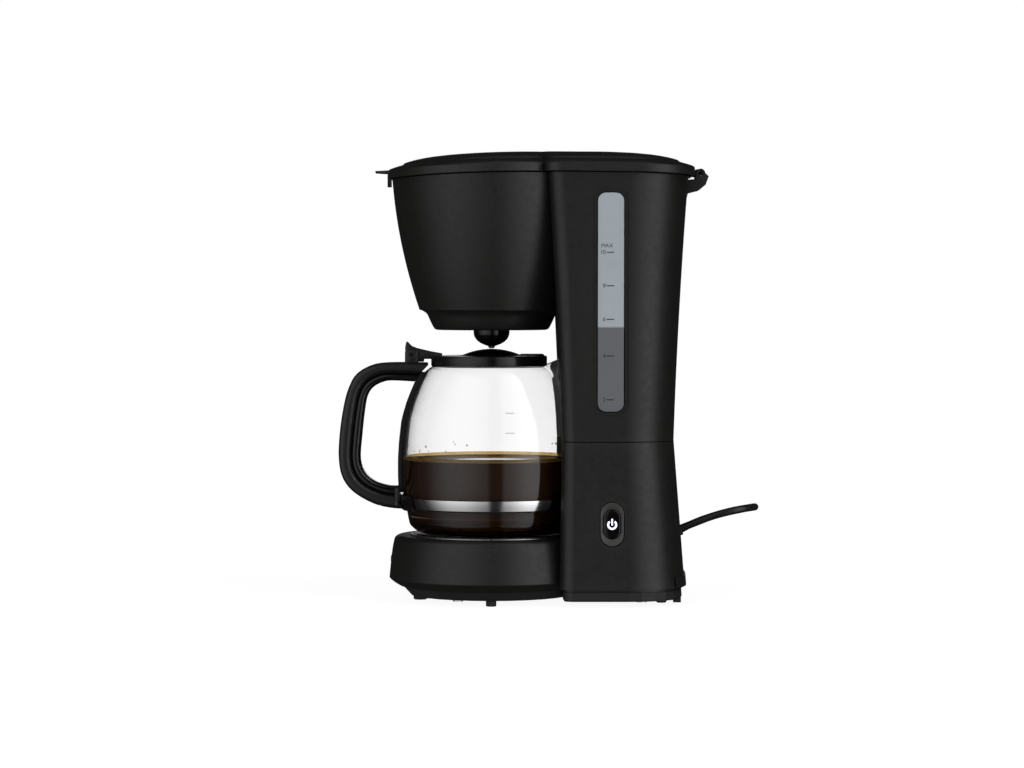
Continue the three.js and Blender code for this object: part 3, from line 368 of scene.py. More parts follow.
def cord_route():
    out = [along_cord(0), along_cord(11), along_cord(23)]
    out += [
        (0, 170, 63.3), (-2, 180, 65.4), (-8.5, 188.5, 66.3), (-20, 193.5, 66.2),
        (-34, 192, 65), (-47, 185, 62.6), (-58, 174, 59.3), (-67, 161, 54.8),
        (-74.5, 148, 48.8), (-81, 135, 40.5), (-87, 123, 30), (-92.5, 111.5, 18.6),
        (-97.5, 101, 9.4), (-101, 91.5, 4.3), (-102.5, 83, COIL_LOW),
    ]
    tail = [
        (-122.5, 19.5, 9), (-134, 8.5, 9.8), (-146, -3, 13), (-154, -12.5, 16.6),
        (PLUG_BACK[0], PLUG_BACK[1] + 5, PLUG_Z), (PLUG_BACK[0], PLUG_BACK[1] - 8, PLUG_Z),
    ]
    return catmull(out + coil_points() + tail, 4)


def add_cord():
    curve = bpy.data.curves.new("power_cord_full", "CURVE")
    curve.dimensions = "3D"
    curve.bevel_depth = 1.0
    curve.bevel_resolution = 5
    curve.use_fill_caps = True
    route = cord_route()
    spline = curve.splines.new("POLY")
    spline.points.add(len(route) - 1)
    for point, place in zip(spline.points, route):
        point.co = (*world(*place), 1)
        point.radius = CORD_RADIUS * MM
    obj = bpy.data.objects.new("power_cord_full", curve)
    bpy.context.scene.collection.objects.link(obj)
    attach(obj, "machine")
    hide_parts("power_cord", "cord_coil", "cord_tail")
    return obj


cord = add_cord()


# ---------------------------------------------------------------- materials

PLASTIC_IOR = 1.47
GLASS_IOR = 1.47
DRINK_IOR = 1.34


def new_material(name):
    material = bpy.data.materials.new(name)
    material.use_nodes = True
    tree = material.node_tree
    return material, tree, tree.nodes["Principled BSDF"]


def put(node, values):
    for name, value in values.items():
        node.inputs[name].default_value = value


def shaded(color, factor):
    return tuple(channel * factor for channel in color)


def noise(tree, scale, detail=3, stretch=None):
    source = tree.nodes.new("ShaderNodeTexCoord")
    texture = tree.nodes.new("ShaderNodeTexNoise")
    put(texture, {"Scale": scale, "Detail": detail})
    link = source.outputs["Object"]
    if stretch:
        mapping = tree.nodes.new("ShaderNodeMapping")
        put(mapping, {"Scale": stretch})
        tree.links.new(link, mapping.inputs["Vector"])
        link = mapping.outputs["Vector"]
    tree.links.new(link, texture.inputs["Vector"])
    return texture.outputs["Fac"]


def spread(tree, source, low, high, from_low=0.3, from_high=0.7):
    node = tree.nodes.new("ShaderNodeMapRange")
    put(node, {"From Min": from_low, "From Max": from_high, "To Min": low, "To Max": high})
    tree.links.new(source, node.inputs["Value"])
    return node.outputs["Result"]


def blend_colors(tree, factor, first, second):
    node = tree.nodes.new("ShaderNodeMix")
    node.data_type = "RGBA"
    tree.links.new(factor, node.inputs["Factor"])
    for socket, value in ((node.inputs["A"], first), (node.inputs["B"], second)):
        if isinstance(value, (tuple, list)):
            socket.default_value = (*value, 1)
        else:
            tree.links.new(value, socket)
    return node.outputs["Result"]


def add_bump(tree, shader, height, strength, distance):
    bump = tree.nodes.new("ShaderNodeBump")
    put(bump, {"Strength": strength, "Distance": distance})
    tree.links.new(height, bump.inputs["Height"])
    tree.links.new(bump.outputs["Normal"], shader.inputs["Normal"])


def moulded(name, color, rough, grain=1800, strength=0.25, wear=1.6, spread_rough=0.06):
    """Moulded plastic: a fine grain, slow changes of gloss, and edges rubbed a little lighter."""
    material, tree, shader = new_material(name)
    put(shader, {"IOR": PLASTIC_IOR})
    slow = noise(tree, 22, 2)
    dust = noise(tree, 260, 4)
    tone = blend_colors(tree, spread(tree, slow, 0, 1), shaded(color, 0.88), shaded(color, 1.12))
    geometry = tree.nodes.new("ShaderNodeNewGeometry")
    edges = spread(tree, geometry.outputs["Pointiness"], 0, 1, 0.52, 0.6)
    tone = blend_colors(tree, edges, tone, shaded(color, wear))
    tree.links.new(tone, shader.inputs["Base Color"])
    gloss = spread(tree, dust, rough - spread_rough, rough + spread_rough)
    tree.links.new(gloss, shader.inputs["Roughness"])
    add_bump(tree, shader, noise(tree, grain, 2), strength, 0.00004)
    return material


def metal(name, color, rough, stretch=None, scale=900, strength=0.1):
    material, tree, shader = new_material(name)
    put(shader, {"Metallic": 1})
    lines = noise(tree, scale, 3, stretch=stretch)
    tone = blend_colors(tree, noise(tree, 40, 2), shaded(color, 0.93), color)
    tree.links.new(tone, shader.inputs["Base Color"])
    tree.links.new(spread(tree, lines, rough * 0.75, rough * 1.3), shader.inputs["Roughness"])
    add_bump(tree, shader, lines, strength, 0.00002)
    return material


def clear(name, color, rough, ior):
    material, tree, shader = new_material(name)
    put(shader, {"Base Color": (*color, 1), "Transmission Weight": 1, "IOR": ior})
    smears = noise(tree, 45, 4)
    tree.links.new(spread(tree, smears, rough, rough + 0.03, 0.5, 0.8), shader.inputs["Roughness"])
    add_bump(tree, shader, noise(tree, 60, 1), 0.06, 0.0002)
    return material


def glowing(name, color, strength):
    material, tree, shader = new_material(name)
    put(shader, {"Base Color": (*color, 1), "Emission Color": (*color, 1), "Roughness": 0.3})
    glow = spread(tree, noise(tree, 900, 2), strength * 0.85, strength)
    tree.links.new(glow, shader.inputs["Emission Strength"])
    return material


casing_black = moulded("casing_black", (0.0060, 0.0060, 0.0056), 0.42, strength=0.3)
under_black = moulded("under_black", (0.008, 0.008, 0.008), 0.55, grain=900, strength=0.35)
handle_black = moulded("handle_black", (0.007, 0.007, 0.0068), 0.36, strength=0.25)
gloss_black = moulded(
    "gloss_black", (0.0035, 0.003, 0.0028), 0.09, grain=300, strength=0.05, spread_rough=0.03,
)
gloss_satin = moulded(
    "gloss_satin", (0.0045, 0.0042, 0.004), 0.2, grain=500, strength=0.08, spread_rough=0.04,
)
bezel_grey = moulded("bezel_grey", (0.062, 0.060, 0.058), 0.5, strength=0.2)
gauge_ink = moulded("gauge_ink", (0.012, 0.013, 0.018), 0.6, strength=0.1, wear=1.1)
glass_ink = moulded("glass_ink", (0.55, 0.55, 0.56), 0.6, strength=0.1, wear=1.1)
rubber_black = moulded("rubber_black", (0.010, 0.010, 0.010), 0.7, grain=700, strength=0.5)
cord_black = moulded("cord_black", (0.007, 0.007, 0.007), 0.3, grain=500, strength=0.3)
natural_plastic = moulded("natural_plastic", (0.72, 0.71, 0.66), 0.45, grain=600, wear=1.05)
silicone = moulded("silicone", (0.62, 0.6, 0.54), 0.5, grain=400, wear=1.05)
ceramic = moulded("ceramic", (0.78, 0.76, 0.7), 0.4, grain=800, wear=1.05)
steel = metal("steel", (0.62, 0.62, 0.64), 0.28)
rim_steel = metal("rim_steel", (0.30, 0.30, 0.30), 0.3)
band_steel = metal(
    "band_steel", (0.72, 0.72, 0.73), 0.14, stretch=(1, 1, 30), scale=260, strength=0.05,
)
aluminium = metal("aluminium", (0.62, 0.62, 0.63), 0.4, scale=500, strength=0.3)
plate_black = moulded("plate_black", (0.006, 0.006, 0.006), 0.3, grain=1400, strength=0.4)
glass = clear("carafe_glass_clear", (1.0, 1.0, 1.0), 0.0, GLASS_IOR)
lamp = glowing("lamp_white", (0.80, 0.80, 1.0), 1.35)

CAD_FINISH = {
    under_black: [
        "bottom_cover", "switch_bezel", "switch_body", "filter_basket", "basket_handle",
        "cord_gland", "plug",
    ],
    rubber_black: ["foot_front", "foot_left", "foot_right", "foot_rear_left", "foot_rear_right"],
    gloss_black: [
        "drip_stop_pin", "power_button", "carafe_lid", "handle_insert", "drip_nozzle",
        "lid_hinge_pin", "carafe_lid_pin", "band_screw",
    ],
    handle_black: ["carafe_handle", "handle_strap", "band_clamp"],
    casing_black: ["base_housing", "tank_housing", "filter_housing", "lid"],
    steel: [
        "cover_screw_front_left", "cover_screw_front_right", "cover_screw_rear_left",
        "cover_screw_rear_right", "clamp_screw_left", "clamp_screw_right", "heater_clamp",
        "drip_spring", "check_ball", "plug_pin_left", "plug_pin_right",
    ],
    band_steel: ["carafe_band", "plate_seal"],
    plate_black: ["hot_plate"],
    aluminium: ["heater"],
    natural_plastic: ["riser_tube", "spout_arm", "shower_head", "check_valve"],
    ceramic: ["thermostat", "thermal_fuse"],
    silicone: ["tank_outlet", "inlet_hose", "feed_hose", "return_hose"],
    glass: ["carafe_glass", "gauge_window"],
    lamp: ["button_lens"],
    cord_black: ["power_cord", "cord_coil", "cord_tail"],
}


def paint(obj, material):
    obj.data.materials.clear()
    obj.data.materials.append(material)


def paint_cad_nodes():
    for material, names in CAD_FINISH.items():
        for name in names:
            paint(nodes[name], material)
            nodes[name].data.shade_smooth()
            nodes[name].data.set_sharp_from_angle(angle=math.radians(32))


paint_cad_nodes()
paint(cord, cord_black)


def finished(obj, body, material, slot, *replaced, angle=28):
    """Gives a new piece its material and body, and hides the CAD nodes it stands for. The slot argument is
    not used.
    """
    smooth(obj, angle)
    paint(obj, material)
    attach(obj, body)
    if replaced:
        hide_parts(*replaced)
    return obj


# ---------------------------------------------------------------- casings

HEAD_RIM_LOW = 304
HEAD_RIM = 308
RIM_ROUND = 0.5
NOZZLE_HOLE = 13.7
STEP_LAP = 3 # the column laps this far over the head's step
HINGE_BORE = 1.8
KNUCKLE_RADIUS = 3.4
LUG_HALF = 8.2
EAR_INNER, EAR_OUTER = 8.5, 12.0
CORD_HOLE = 5.2
LEDGE_BACK = 132
ROOT_INSET = 2.4
SWITCH_DEPTH, SWITCH_Z = 86, 59.3
GAUGE_DEPTH = 85
GAUGE_WIDTH = 19.8
GAUGE_CORNER = 6.5
GAUGE_BORDER = 2.6
SIDE_CUT = (40, 90)


def column_plan(inset, arc_steps=24):
    front = COLUMN_FRONT + inset
    half = COLUMN_HALF - inset
    fr = max(FRONT_CORNER - inset, 1)
    br = BACK_CORNER - inset
    bow_x = half - br + br * math.sin(BACK_BOW)
    bow_rise = bow_x * math.tan(BACK_BOW)
    centre = COLUMN_BACK - inset - br * math.cos(BACK_BOW) - bow_rise / 2
    start = centre + br * math.cos(BACK_BOW)
    points = arc(half - fr, front + fr, fr, -math.pi / 2, 0, arc_steps)
    points += arc(half - br, centre, br, 0, math.pi / 2 - BACK_BOW, arc_steps)
    for t in between(0, 1, 16)[1:-1]:
        points.append((bow_x * (1 - 2 * t), start + bow_rise * 2 * t * (1 - t)))
    points += arc(br - half, centre, br, math.pi / 2 + BACK_BOW, math.pi, arc_steps)
    points += arc(fr - half, front + fr, fr, math.pi, 1.5 * math.pi, arc_steps)
    return points


def column_ring(inset, z, arched=None):
    planned = COLUMN_BACK - COLUMN_FRONT - 2 * inset
    spread_x = (half_width(z) - inset) / (COLUMN_HALF - inset)
    depth = back_at(z) - front_at(z) - 2 * inset
    out = []
    for x, y in column_plan(inset):
        along = (y - COLUMN_FRONT - inset) / planned
        d = front_at(z) + inset + along * depth
        out.append((x * spread_x, d, arch_at(d) + arched if arched is not None else z))
    return out


def column(name, inset, low, high, steps=14):
    return loft(name, [column_ring(inset, z) for z in between(low, high, steps)])


def cylinder(name, radius, low, high, segments=FINE):
    return lathe(name, [(radius, low), (radius, high)], segments)


def head_cone(inset, low, high, steps=20):
    return [(head_radius(z) - inset, z) for z in between(low, high, steps)]


def add_brew_head():
    foot = catmull([(40.4, 196.9), (41.9, 198.0), (44.3, 202.5), (47.0, 208.2), (50.6, 210.9)], 5)
    outside = foot + head_cone(0, HEAD_STEP + 0.1, HEAD_RIM_LOW)
    inside = head_cone(WALL, HEAD_STEP + WALL, HEAD_RIM_LOW)
    inside_foot = [(38.2, 199.2), (39.9, 199.8), (42.2, 203.4), (44.8, 209.2), (47.9, 213.2)]
    rings = [ring(NOZZLE_HOLE, 196.75), ring(39.4, 196.7)] + [ring(r, z) for r, z in outside]

    def arched(radius, drop):
        return [(x, d, arch_at(d) - drop) for x, d, _ in ring(radius, 0)]

    rim = head_radius(HEAD_RIM)
    rings += [arched(rim, GAP + RIM_ROUND), arched(rim - RIM_ROUND, GAP)]
    rings += [arched(rim - WALL + RIM_ROUND, GAP), arched(rim - WALL, GAP + RIM_ROUND)]
    rings += [ring(r, z) for r, z in reversed(inside)]
    rings += [ring(r, z) for r, z in reversed(inside_foot)] + [ring(NOZZLE_HOLE, 199.1)]
    obj = loft("brew_head_casing", rings, closed=True)
    return finished(obj, "machine", casing_black, "casing", "filter_housing")


def front_cutter(name, extra):
    profile = [
        (RECESS + extra, 100), (RECESS + extra, HEAD_STEP - STEP_LAP + extra),
        (head_radius(HEAD_STEP) + GAP + extra, HEAD_STEP - STEP_LAP + extra),
    ]
    return lathe(name, profile + head_cone(-GAP - extra, HEAD_STEP + extra, CORE_TOP))


def add_tank_column():
    edge = 0.4
    levels = between(SEAM + edge, SEAM + edge + 187, 18)
    rings = [column_ring(edge, SEAM)] + [column_ring(0, z) for z in levels]
    rings += [column_ring(0, HEAD_RIM, -GAP - edge), column_ring(edge, HEAD_RIM, -GAP)]
    body = loft("tank_column", rings)
    boolean(body, front_cutter("front_cut", 0))
    cavity = column("cavity", WALL, SEAM + 3, CORE_TOP)
    boolean(cavity, front_cutter("front_keep", WALL))
    boolean(body, cavity)
    low, high = node_box("gauge_window")
    middle, length = (low.z + high.z) / 2, high.z - low.z + 2 * PANE_GAP
    border = rounded_bar(
        GAUGE_DEPTH, middle, GAUGE_WIDTH + 2 * GAUGE_BORDER, length + 2 * GAUGE_BORDER,
        GAUGE_CORNER + GAUGE_BORDER,
    )
    recess = prism("recess", border, *SIDE_CUT)
    boolean(recess, column("keep", 0.8, 110, CORE_TOP))
    boolean(body, recess)
    slot = rounded_bar(GAUGE_DEPTH, middle, GAUGE_WIDTH, length, GAUGE_CORNER)
    boolean(body, prism("slot", slot, *SIDE_CUT))
    for ear in hinge_ears():
        boolean(body, ear, "UNION")
    return finished(body, "machine", casing_black, "casing", "tank_housing")


def hinge_ears():
    root = back_at(HINGE_HEIGHT) - WALL / 2 - 0.6
    d, z = HINGE_DEPTH, HINGE_HEIGHT
    outline = [
        (root, z - 19.2), (d - 9.3, z - 14.4), (d - 1.3, z - 12.4), (d + 3.5, z - 8.3),
        (d + 5.7, z - 2.3), (d + 3, z + 0.4), (d + 1.9, z + 2.6), (d, z + KNUCKLE_RADIUS),
        (d - 2.9, z + 1.4), (d - 3.8, z - 4.3), (root, z - 4.7),
    ]
    ears = []
    for side in (-1, 1):
        low, high = sorted((side * EAR_INNER, side * EAR_OUTER))
        ear = prism(f"ear_{side}", outline, low, high)
        ears.append(boolean(ear, prism("bore", circle(d, z, HINGE_BORE), low - 2, high + 2)))
    return ears


def add_base():
    skirt = catmull([
        (66.7, 10.9), (70.6, 13.2), (74.0, 16.0), (POD_RADIUS, 17.6), (73.9, 23), (72.5, 36), (71.2, 43.2),
    ], 4)
    angles = between(0, math.pi / 2, 10)[1:]
    fillet = [(71.0 - 4.4 * (1 - math.cos(a)), 43.6 + 3.9 * math.sin(a)) for a in angles]
    body = lathe("base_casing", skirt + fillet, BASE_FINE)
    lower = column("lower_column", 0, 12.6, SEAM - GAP, 10)
    ledge = column("ledge", -1.2, 13.2, 20.6, 2)
    boolean(ledge, box("ledge_keep", (-100, -100, 0), (100, LEDGE_BACK, 40)))
    root = column("root", ROOT_INSET, 10.9, 13.1, 1)
    for piece in (lower, ledge, root):
        boolean(piece, cylinder("bay", RECESS, POD_TOP, 150))
        boolean(body, piece, "UNION")
    inside = lathe("pod_inside", [(64.3, 0), (64.3, 13), (71.4, 18), (70.1, 36), (67.6, 45.1)], 96)
    boolean(body, inside)
    hollow = column("column_inside", WALL, 18, SEAM + 5, 6)
    boolean(hollow, cylinder("bay_wall", RECESS + WALL, POD_TOP - WALL, 150, 96))
    boolean(body, hollow)
    boolean(body, column("root_inside", ROOT_INSET + WALL, 0, 18.5, 1))
    boolean(body, cylinder("plate_hole", 59.8, 30, 60))
    boolean(body, prism("switch_hole", stadium(SWITCH_DEPTH, SWITCH_Z, 17.6, 32.1), *SIDE_CUT))
    boolean(body, cord_hole())
    return finished(body, "machine", casing_black, "casing", "base_housing")


def cord_hole():
    start, end = Vector(along_cord(-12)), Vector(along_cord(12))
    along = (end - start).normalized()
    side = Vector((1, 0, 0))
    up = along.cross(side)
    section = circle(0, 0, CORD_HOLE, 24)
    rings = [[tuple(centre + side * u + up * v) for u, v in section] for centre in (start, end)]
    return loft("cord_hole", rings)


# The lid's crown: its rise at a share s of the rim is CROWN_RISE - CROWN_DROP * s ** CROWN_POWER.
CROWN_RISE = 15.1
CROWN_DROP = 9.4
CROWN_POWER = 6.5


def lid_plan(inset):
    rim = LID_RIM - inset
    half = half_width(ARCH_TOP) + LID_OVERHANG - inset
    corner = FRONT_CORNER + LID_OVERHANG - inset
    corner_y = front_at(ARCH_TOP) + FRONT_CORNER
    back = BACK_CORNER + LID_OVERHANG - inset
    back_y = back_at(ARCH_TOP) - BACK_CORNER
    notch = math.asin(LID_NOTCH / LID_RIM)
    shoulder = 1.3
    points = arc(half - corner, corner_y, corner, -shoulder, 0, 14)
    points += arc(half - back, back_y, back, 0, math.pi / 2, 24)
    points += arc(back - half, back_y, back, math.pi / 2, math.pi, 24)
    points += arc(corner - half, corner_y, corner, math.pi, math.pi + shoulder, 14)
    points += arc(0, 0, rim, math.pi - notch, 2 * math.pi + notch, 90)
    return points


def lid_ring(inset, scale, rise):
    centre = (back_at(ARCH_TOP) + LID_OVERHANG - LID_RIM) / 2
    out = []
    for x, y in lid_plan(inset):
        depth = centre + (y - centre) * scale
        out.append((x * scale, depth, arch_at(depth) + rise))
    return out


def add_lid():
    outer = [
        (1, 0.35), (1, 5.6), (0.996, 6.2), (0.985, 6.9), (0.955, 7.9), (0.912, 9.1), (0.904, 9.4),
        (0.898, 9.9), (0.893, 10.5),
    ]
    crown = (0.885, 0.86, 0.83, 0.79, 0.74, 0.68, 0.6, 0.5, 0.38, 0.25, 0.12, 0.01)
    outer += [(s, CROWN_RISE - CROWN_DROP * s ** CROWN_POWER) for s in crown]
    inner = [(s, rise - WALL) for s, rise in ((0.01, CROWN_RISE), (0.3, 15.0), (0.6, 14.7), (0.8, 12.9))]
    inner += [(0.93, 6.6), (0.99, 3.8), (1, 0.35)]
    rings = [lid_ring(WALL, 1, 0), lid_ring(0.35, 1, 0)] + [lid_ring(0, s, r) for s, r in outer]
    rings += [lid_ring(WALL, s, r) for s, r in inner]
    body = loft("lid_shell", rings, closed=True)
    front = -LID_RIM
    top = arch_at(front)
    tab = [
        (front - 8.7, top + 4.3), (front - 9, top + 5), (front - 8.6, top + 5.6),
        (front + 1.6, top + 6), (front + 1.6, top + 3.8),
    ]
    boolean(body, rounded_tab("tab", tab, 13), "UNION")
    latch = [(front, top - 5.8), (front + 2.6, top - 5.8), (front + 2.6, top + 3), (front, top + 3)]
    boolean(body, prism("latch", latch, -8, 8), "UNION")
    rim_back = back_at(ARCH_TOP) + LID_OVERHANG
    d, z = HINGE_DEPTH, HINGE_HEIGHT
    knuckle = [(rim_back - 1.2, z - 2)]
    knuckle += arc(d, z, KNUCKLE_RADIUS, -math.pi / 2, math.pi / 2, 16)
    knuckle += [(rim_back - 1.2, z + 2)]
    boolean(body, prism("lug", knuckle, -LUG_HALF, LUG_HALF), "UNION")
    boolean(body, prism("bore", circle(d, z, HINGE_BORE), -20, 20))
    return finished(body, "lid", casing_black, "casing", "lid")


def rounded_tab(name, outline, half):
    """A tab whose front corners are rounded in plan."""
    front = min(d for d, _ in outline)
    corner = [(half, 4), (half - 1, 2), (half - 3.5, 0.5), (half - 6, 0)]
    rings = []
    for x, pull in [(-x, pull) for x, pull in corner] + corner[::-1]:
        rings.append([(x, max(d, front + pull), z) for d, z in outline])
    return loft(name, rings)


# ---------------------------------------------------------------- carafe

GLASS_POINTS = [
    (48.5, 49.1), (52.6, 49.7), (55.7, 51.4), (57.9, 53.4), (59.9, 56.2), (61.7, 65.2),
    (63.6, 74), (64.5, 80.5), (65, 90), (65, 103), (64.2, 116), (62.5, 130.8), (60.6, 138),
    (58.3, 145.4), (55.4, 152.7), (52.2, 160), (48.8, 165.8), (45.6, 168.7), (43.8, GLASS_TOP),
]
GLASS_WALL = 2.2
WETTING = 0.12 # how far the coffee reaches into the glass, so that no air film shows
SPOUT_REACH, SPOUT_RISE = 7.5, 5.4


def glass_radius(z):
    points = GLASS_POINTS
    for (r0, z0), (r1, z1) in zip(points, points[1:]):
        if z <= z1:
            return r0 + (r1 - r0) * max(z - z0, 0) / (z1 - z0)
    return points[-1][0]


def spouted(x, y, z):
    """Moves a point near the rim outwards and upwards on the side of the pouring lip."""
    turn = math.atan2(abs(x), y)
    side = max(0, math.cos(min(turn * 3.4, math.pi / 2)))
    up = ease(z, GLASS_TOP - 9, GLASS_TOP)
    radius = math.hypot(x, y)
    reach = 1 + SPOUT_REACH * side * up / radius if radius > 1 else 1
    return (x * reach, y * reach, z + SPOUT_RISE * side * up)


def add_glass():
    outer = catmull(GLASS_POINTS, 4)
    inner = [(44, 52.4), (50.5, 53.3), (55.2, 56.2), (57.6, 59.2), (59.5, 66), (61.4, 74)]
    inner += [(r - GLASS_WALL, z) for r, z in GLASS_POINTS[7:]]
    inner = catmull(inner, 4)
    rim = [(43.5, GLASS_TOP + 0.4), (42.6, GLASS_TOP + 0.6), (41.9, GLASS_TOP + 0.3)]
    profile = [(20, 49.4), (47.6, 49.1)] + outer + rim + inner[::-1] + [(20, 52.4)]
    rings = [[spouted(*p) for p in ring(r, z)] for r, z in profile]
    body = loft("carafe_glass_body", rings)
    return finished(body, "carafe", glass, "glass", "carafe_glass", angle=60)


def coffee_body():
    """Coffee: it wets the wall, so its edge climbs a little."""
    top = COFFEE_TOP
    edge = glass_radius(top) - GLASS_WALL + WETTING
    profile = [
        (AXIS_HOLE, 52.3), (44, 52.3), (50.6, 53.2), (55.3, 56.1), (57.7, 59.1), (59.6, 66), (61.5, 74),
    ]
    profile += [(glass_radius(z) - GLASS_WALL + WETTING, z) for z in (80.5, 90, 98)]
    profile += [
        (edge, top + 0.35), (edge - 0.6, top + 0.15), (edge - 1.4, top + 0.05), (edge - 2.6, top),
        (AXIS_HOLE, top),
    ]
    return lathe("coffee", profile)


def coffee_material():
    material, tree, shader = new_material("black_coffee")
    slow = noise(tree, 30, 2)
    tone = blend_colors(tree, slow, (0.036, 0.0115, 0.0025), (0.056, 0.018, 0.004))
    tree.links.new(tone, shader.inputs["Base Color"])
    put(shader, {"Roughness": 0.04, "IOR": DRINK_IOR})
    return material


def golden_material(name="coffee_edge"):
    material, tree, shader = new_material(name)
    tone = blend_colors(tree, noise(tree, 120, 3), (0.80, 0.46, 0.13), (0.98, 0.72, 0.33))
    tree.links.new(tone, shader.inputs["Base Color"])
    put(shader, {"Roughness": 0.12, "Transmission Weight": 0.75, "IOR": DRINK_IOR})
    return material


def add_coffee():
    finished(coffee_body(), "carafe", coffee_material(), "glass", angle=50)
    edge = glass_radius(COFFEE_TOP) - GLASS_WALL + 0.1
    film = [
        (0, 0.4), (0.05, 2.9), (0.35, 2.1), (0.9, 0.8), (1.6, 0.32), (2.2, 0.14), (2.2, 0.06), (1.0, 0.2),
    ]
    profile = [(edge - inwards, COFFEE_TOP + rise) for inwards, rise in film]
    rim = lathe("coffee_edge", profile, closed=True)
    return finished(rim, "carafe", golden_material(), "glass", angle=50)


# ---------------------------------------------------------------- carafe fittings

HANDLE_EDGES = [
    ((-46, 173), (-46, 158.5)), ((-75.4, 173), (-71, 159.9)), ((-88.5, 170.6), (-79, 158.8)),
    ((-98.5, 164.2), (-86, 155)), ((-104.2, 153.6), (-90.2, 149)), ((-107.6, 140.5), (-92.3, 138.5)),
    ((-110.3, 122), (-94.3, 120.5)), ((-111.1, 104), (-95.5, 103.5)), ((-108.4, 89.6), (-92.6, 93.8)),
    ((-100.4, 79), (-85.6, 87.2)), ((-86, 70.6), (-76, 83.8)), ((-72, 67.2), (-68, 83.2)),
    ((-58, 66.6), (-58, 83.2)),
]
SHELL_WIDTH = 23
SHELL_SHARE = 0.58 # of the handle's depth, from its outer edge
INSERT_WIDTH = 17.5
GLASS_ROOM = 3.8
LID_PIVOT = (-58.4, 178.7)
LID_PIN_RADIUS = 1.55
LID_RADIUS = 42.4
LID_OFFSET = -1.6
LID_TOP = 178.0
DOME_RADIUS = 22.5
DOME_RISE = 5
BAND_LOW, BAND_HIGH = 67.2, 75.6
BAND_GAP = 0.25


def handle_part(name, start, end, width, radius):
    """A run along the handle: start and end are shares of its depth from the outer edge."""
    edges = [(*outer, *inner) for outer, inner in HANDLE_EDGES]
    rings = []
    for od, oz, nd, nz in catmull(edges, 8):
        across = Vector((nd - od, nz - oz))
        length = across.length
        corner = min(radius, (end - start) * length / 2 - 0.2)
        section = rounded_section(start * length, end * length, width / 2, corner)
        unit = across / length
        rings.append([(v, od + unit.x * u, oz + unit.y * u) for u, v in section])
    return loft(name, rings)


def glass_room():
    """A cutter that keeps the handle's pieces clear of the glass."""
    return lathe("glass_room", [(glass_radius(z) + GLASS_ROOM, z) for z in between(55, 175, 30)])


def glass_sector(name, near, far, low, high, half_angle, steps=16):
    """A curved plate on the glass, centred on the handle's side, with rounded edges."""
    levels, edge = 24, 0.5
    rings = []
    for j in range(levels + 1):
        t = j / levels
        z = low + (high - low) * t
        inset = edge * max(0, 1 - min(j, levels - j) * (high - low) / levels / edge) ** 2
        r0, r1 = glass_radius(z) + near, glass_radius(z) + far - inset
        spread_angle = half_angle - inset / r1
        middle = -math.pi / 2
        angles = between(middle - spread_angle, middle + spread_angle, steps)
        line = []
        for i, a in enumerate(angles):
            rim = edge * 0.8 if i in (0, steps) else 0
            line.append(((r1 - rim) * math.cos(a), (r1 - rim) * math.sin(a), z))
        line += [(r0 * math.cos(a), r0 * math.sin(a), z) for a in reversed(angles)]
        rings.append(line)
    return loft(name, rings)


def add_handle():
    add_handle_shell()
    add_lid_ears()
    collar = box("handle_collar", (-11.9, -70.4, 67.9), (11.9, -65.2, 82.6))
    softened(collar, 1.6, 3)
    boolean(collar, glass_room())
    finished(collar, "carafe", handle_black, "handle", angle=40)
    insert = handle_part("handle_inner", SHELL_SHARE - 0.015, 1, INSERT_WIDTH, 3.0)
    boolean(insert, glass_room())
    finished(insert, "carafe", gloss_black, "gloss_black", "handle_insert", angle=40)
    strap = glass_sector("handle_strap_fine", 0.3, 3.3, 78.6, 166, 0.135)
    finished(strap, "carafe", handle_black, "handle", "handle_strap", angle=50)


def add_handle_shell():
    shell = handle_part("handle_shell", 0, SHELL_SHARE, SHELL_WIDTH, 3.6)
    boolean(shell, glass_room())
    for depth, low, high in ((-83, 163.5, 175), (-81, 66, 75.6)):
        groove = box("groove", (-13, depth - 0.22, low), (13, depth + 0.22, high))
        boolean(groove, handle_part("groove_core", 0.035, SHELL_SHARE, SHELL_WIDTH - 0.8, 3.3))
        boolean(shell, groove)
    finished(shell, "carafe", handle_black, "handle", "carafe_handle", angle=40)


def add_lid_ears():
    d, z = LID_PIVOT
    ear = [
        (d - 4.6, 171), (d - 4.5, z + 2.2), (d - 4.0, z + 3.1), (d - 3.0, z + 3.5),
        (d + 3.6, z + 3.5), (d + 4.5, z + 3.1), (d + 4.9, z + 2.2), (d + 4.9, 171),
    ]
    for side in (-1, 1):
        low, high = sorted((side * 4.6, side * 7.6))
        label = f"{side}".replace("-", "n")
        plate = softened(prism(f"lid_ear_{label}", ear, low, high), 0.5)
        boolean(plate, glass_room())
        finished(plate, "carafe", handle_black, "handle", angle=40)
        low, high = sorted((side * 7.3, side * 8.0))
        pin_end = prism(f"lid_pin_end_{label}", circle(d, z, LID_PIN_RADIUS, 32), low, high)
        finished(pin_end, "carafe", gloss_black, "gloss_black")


def add_band():
    low, high = BAND_LOW, BAND_HIGH
    levels = [low, low + 0.25, low + 1, (low + high) / 2, high - 1, high - 0.25, high]
    lift = [0.35, 0.75, 0.85, 0.9, 0.85, 0.75, 0.35]
    outside = [(glass_radius(z) + BAND_GAP + rise, z) for z, rise in zip(levels, lift)]
    inside = [(glass_radius(z) + BAND_GAP, z) for z in reversed(levels)]
    band = lathe("band_fine", outside + inside, 192, closed=True)
    finished(band, "carafe", band_steel, "band", "carafe_band", angle=50)
    clamp = glass_sector("band_clamp_fine", 1.3, 3.5, 65.9, 77.0, 0.5, steps=40)
    finished(clamp, "carafe", gloss_black, "handle", "band_clamp", angle=50)


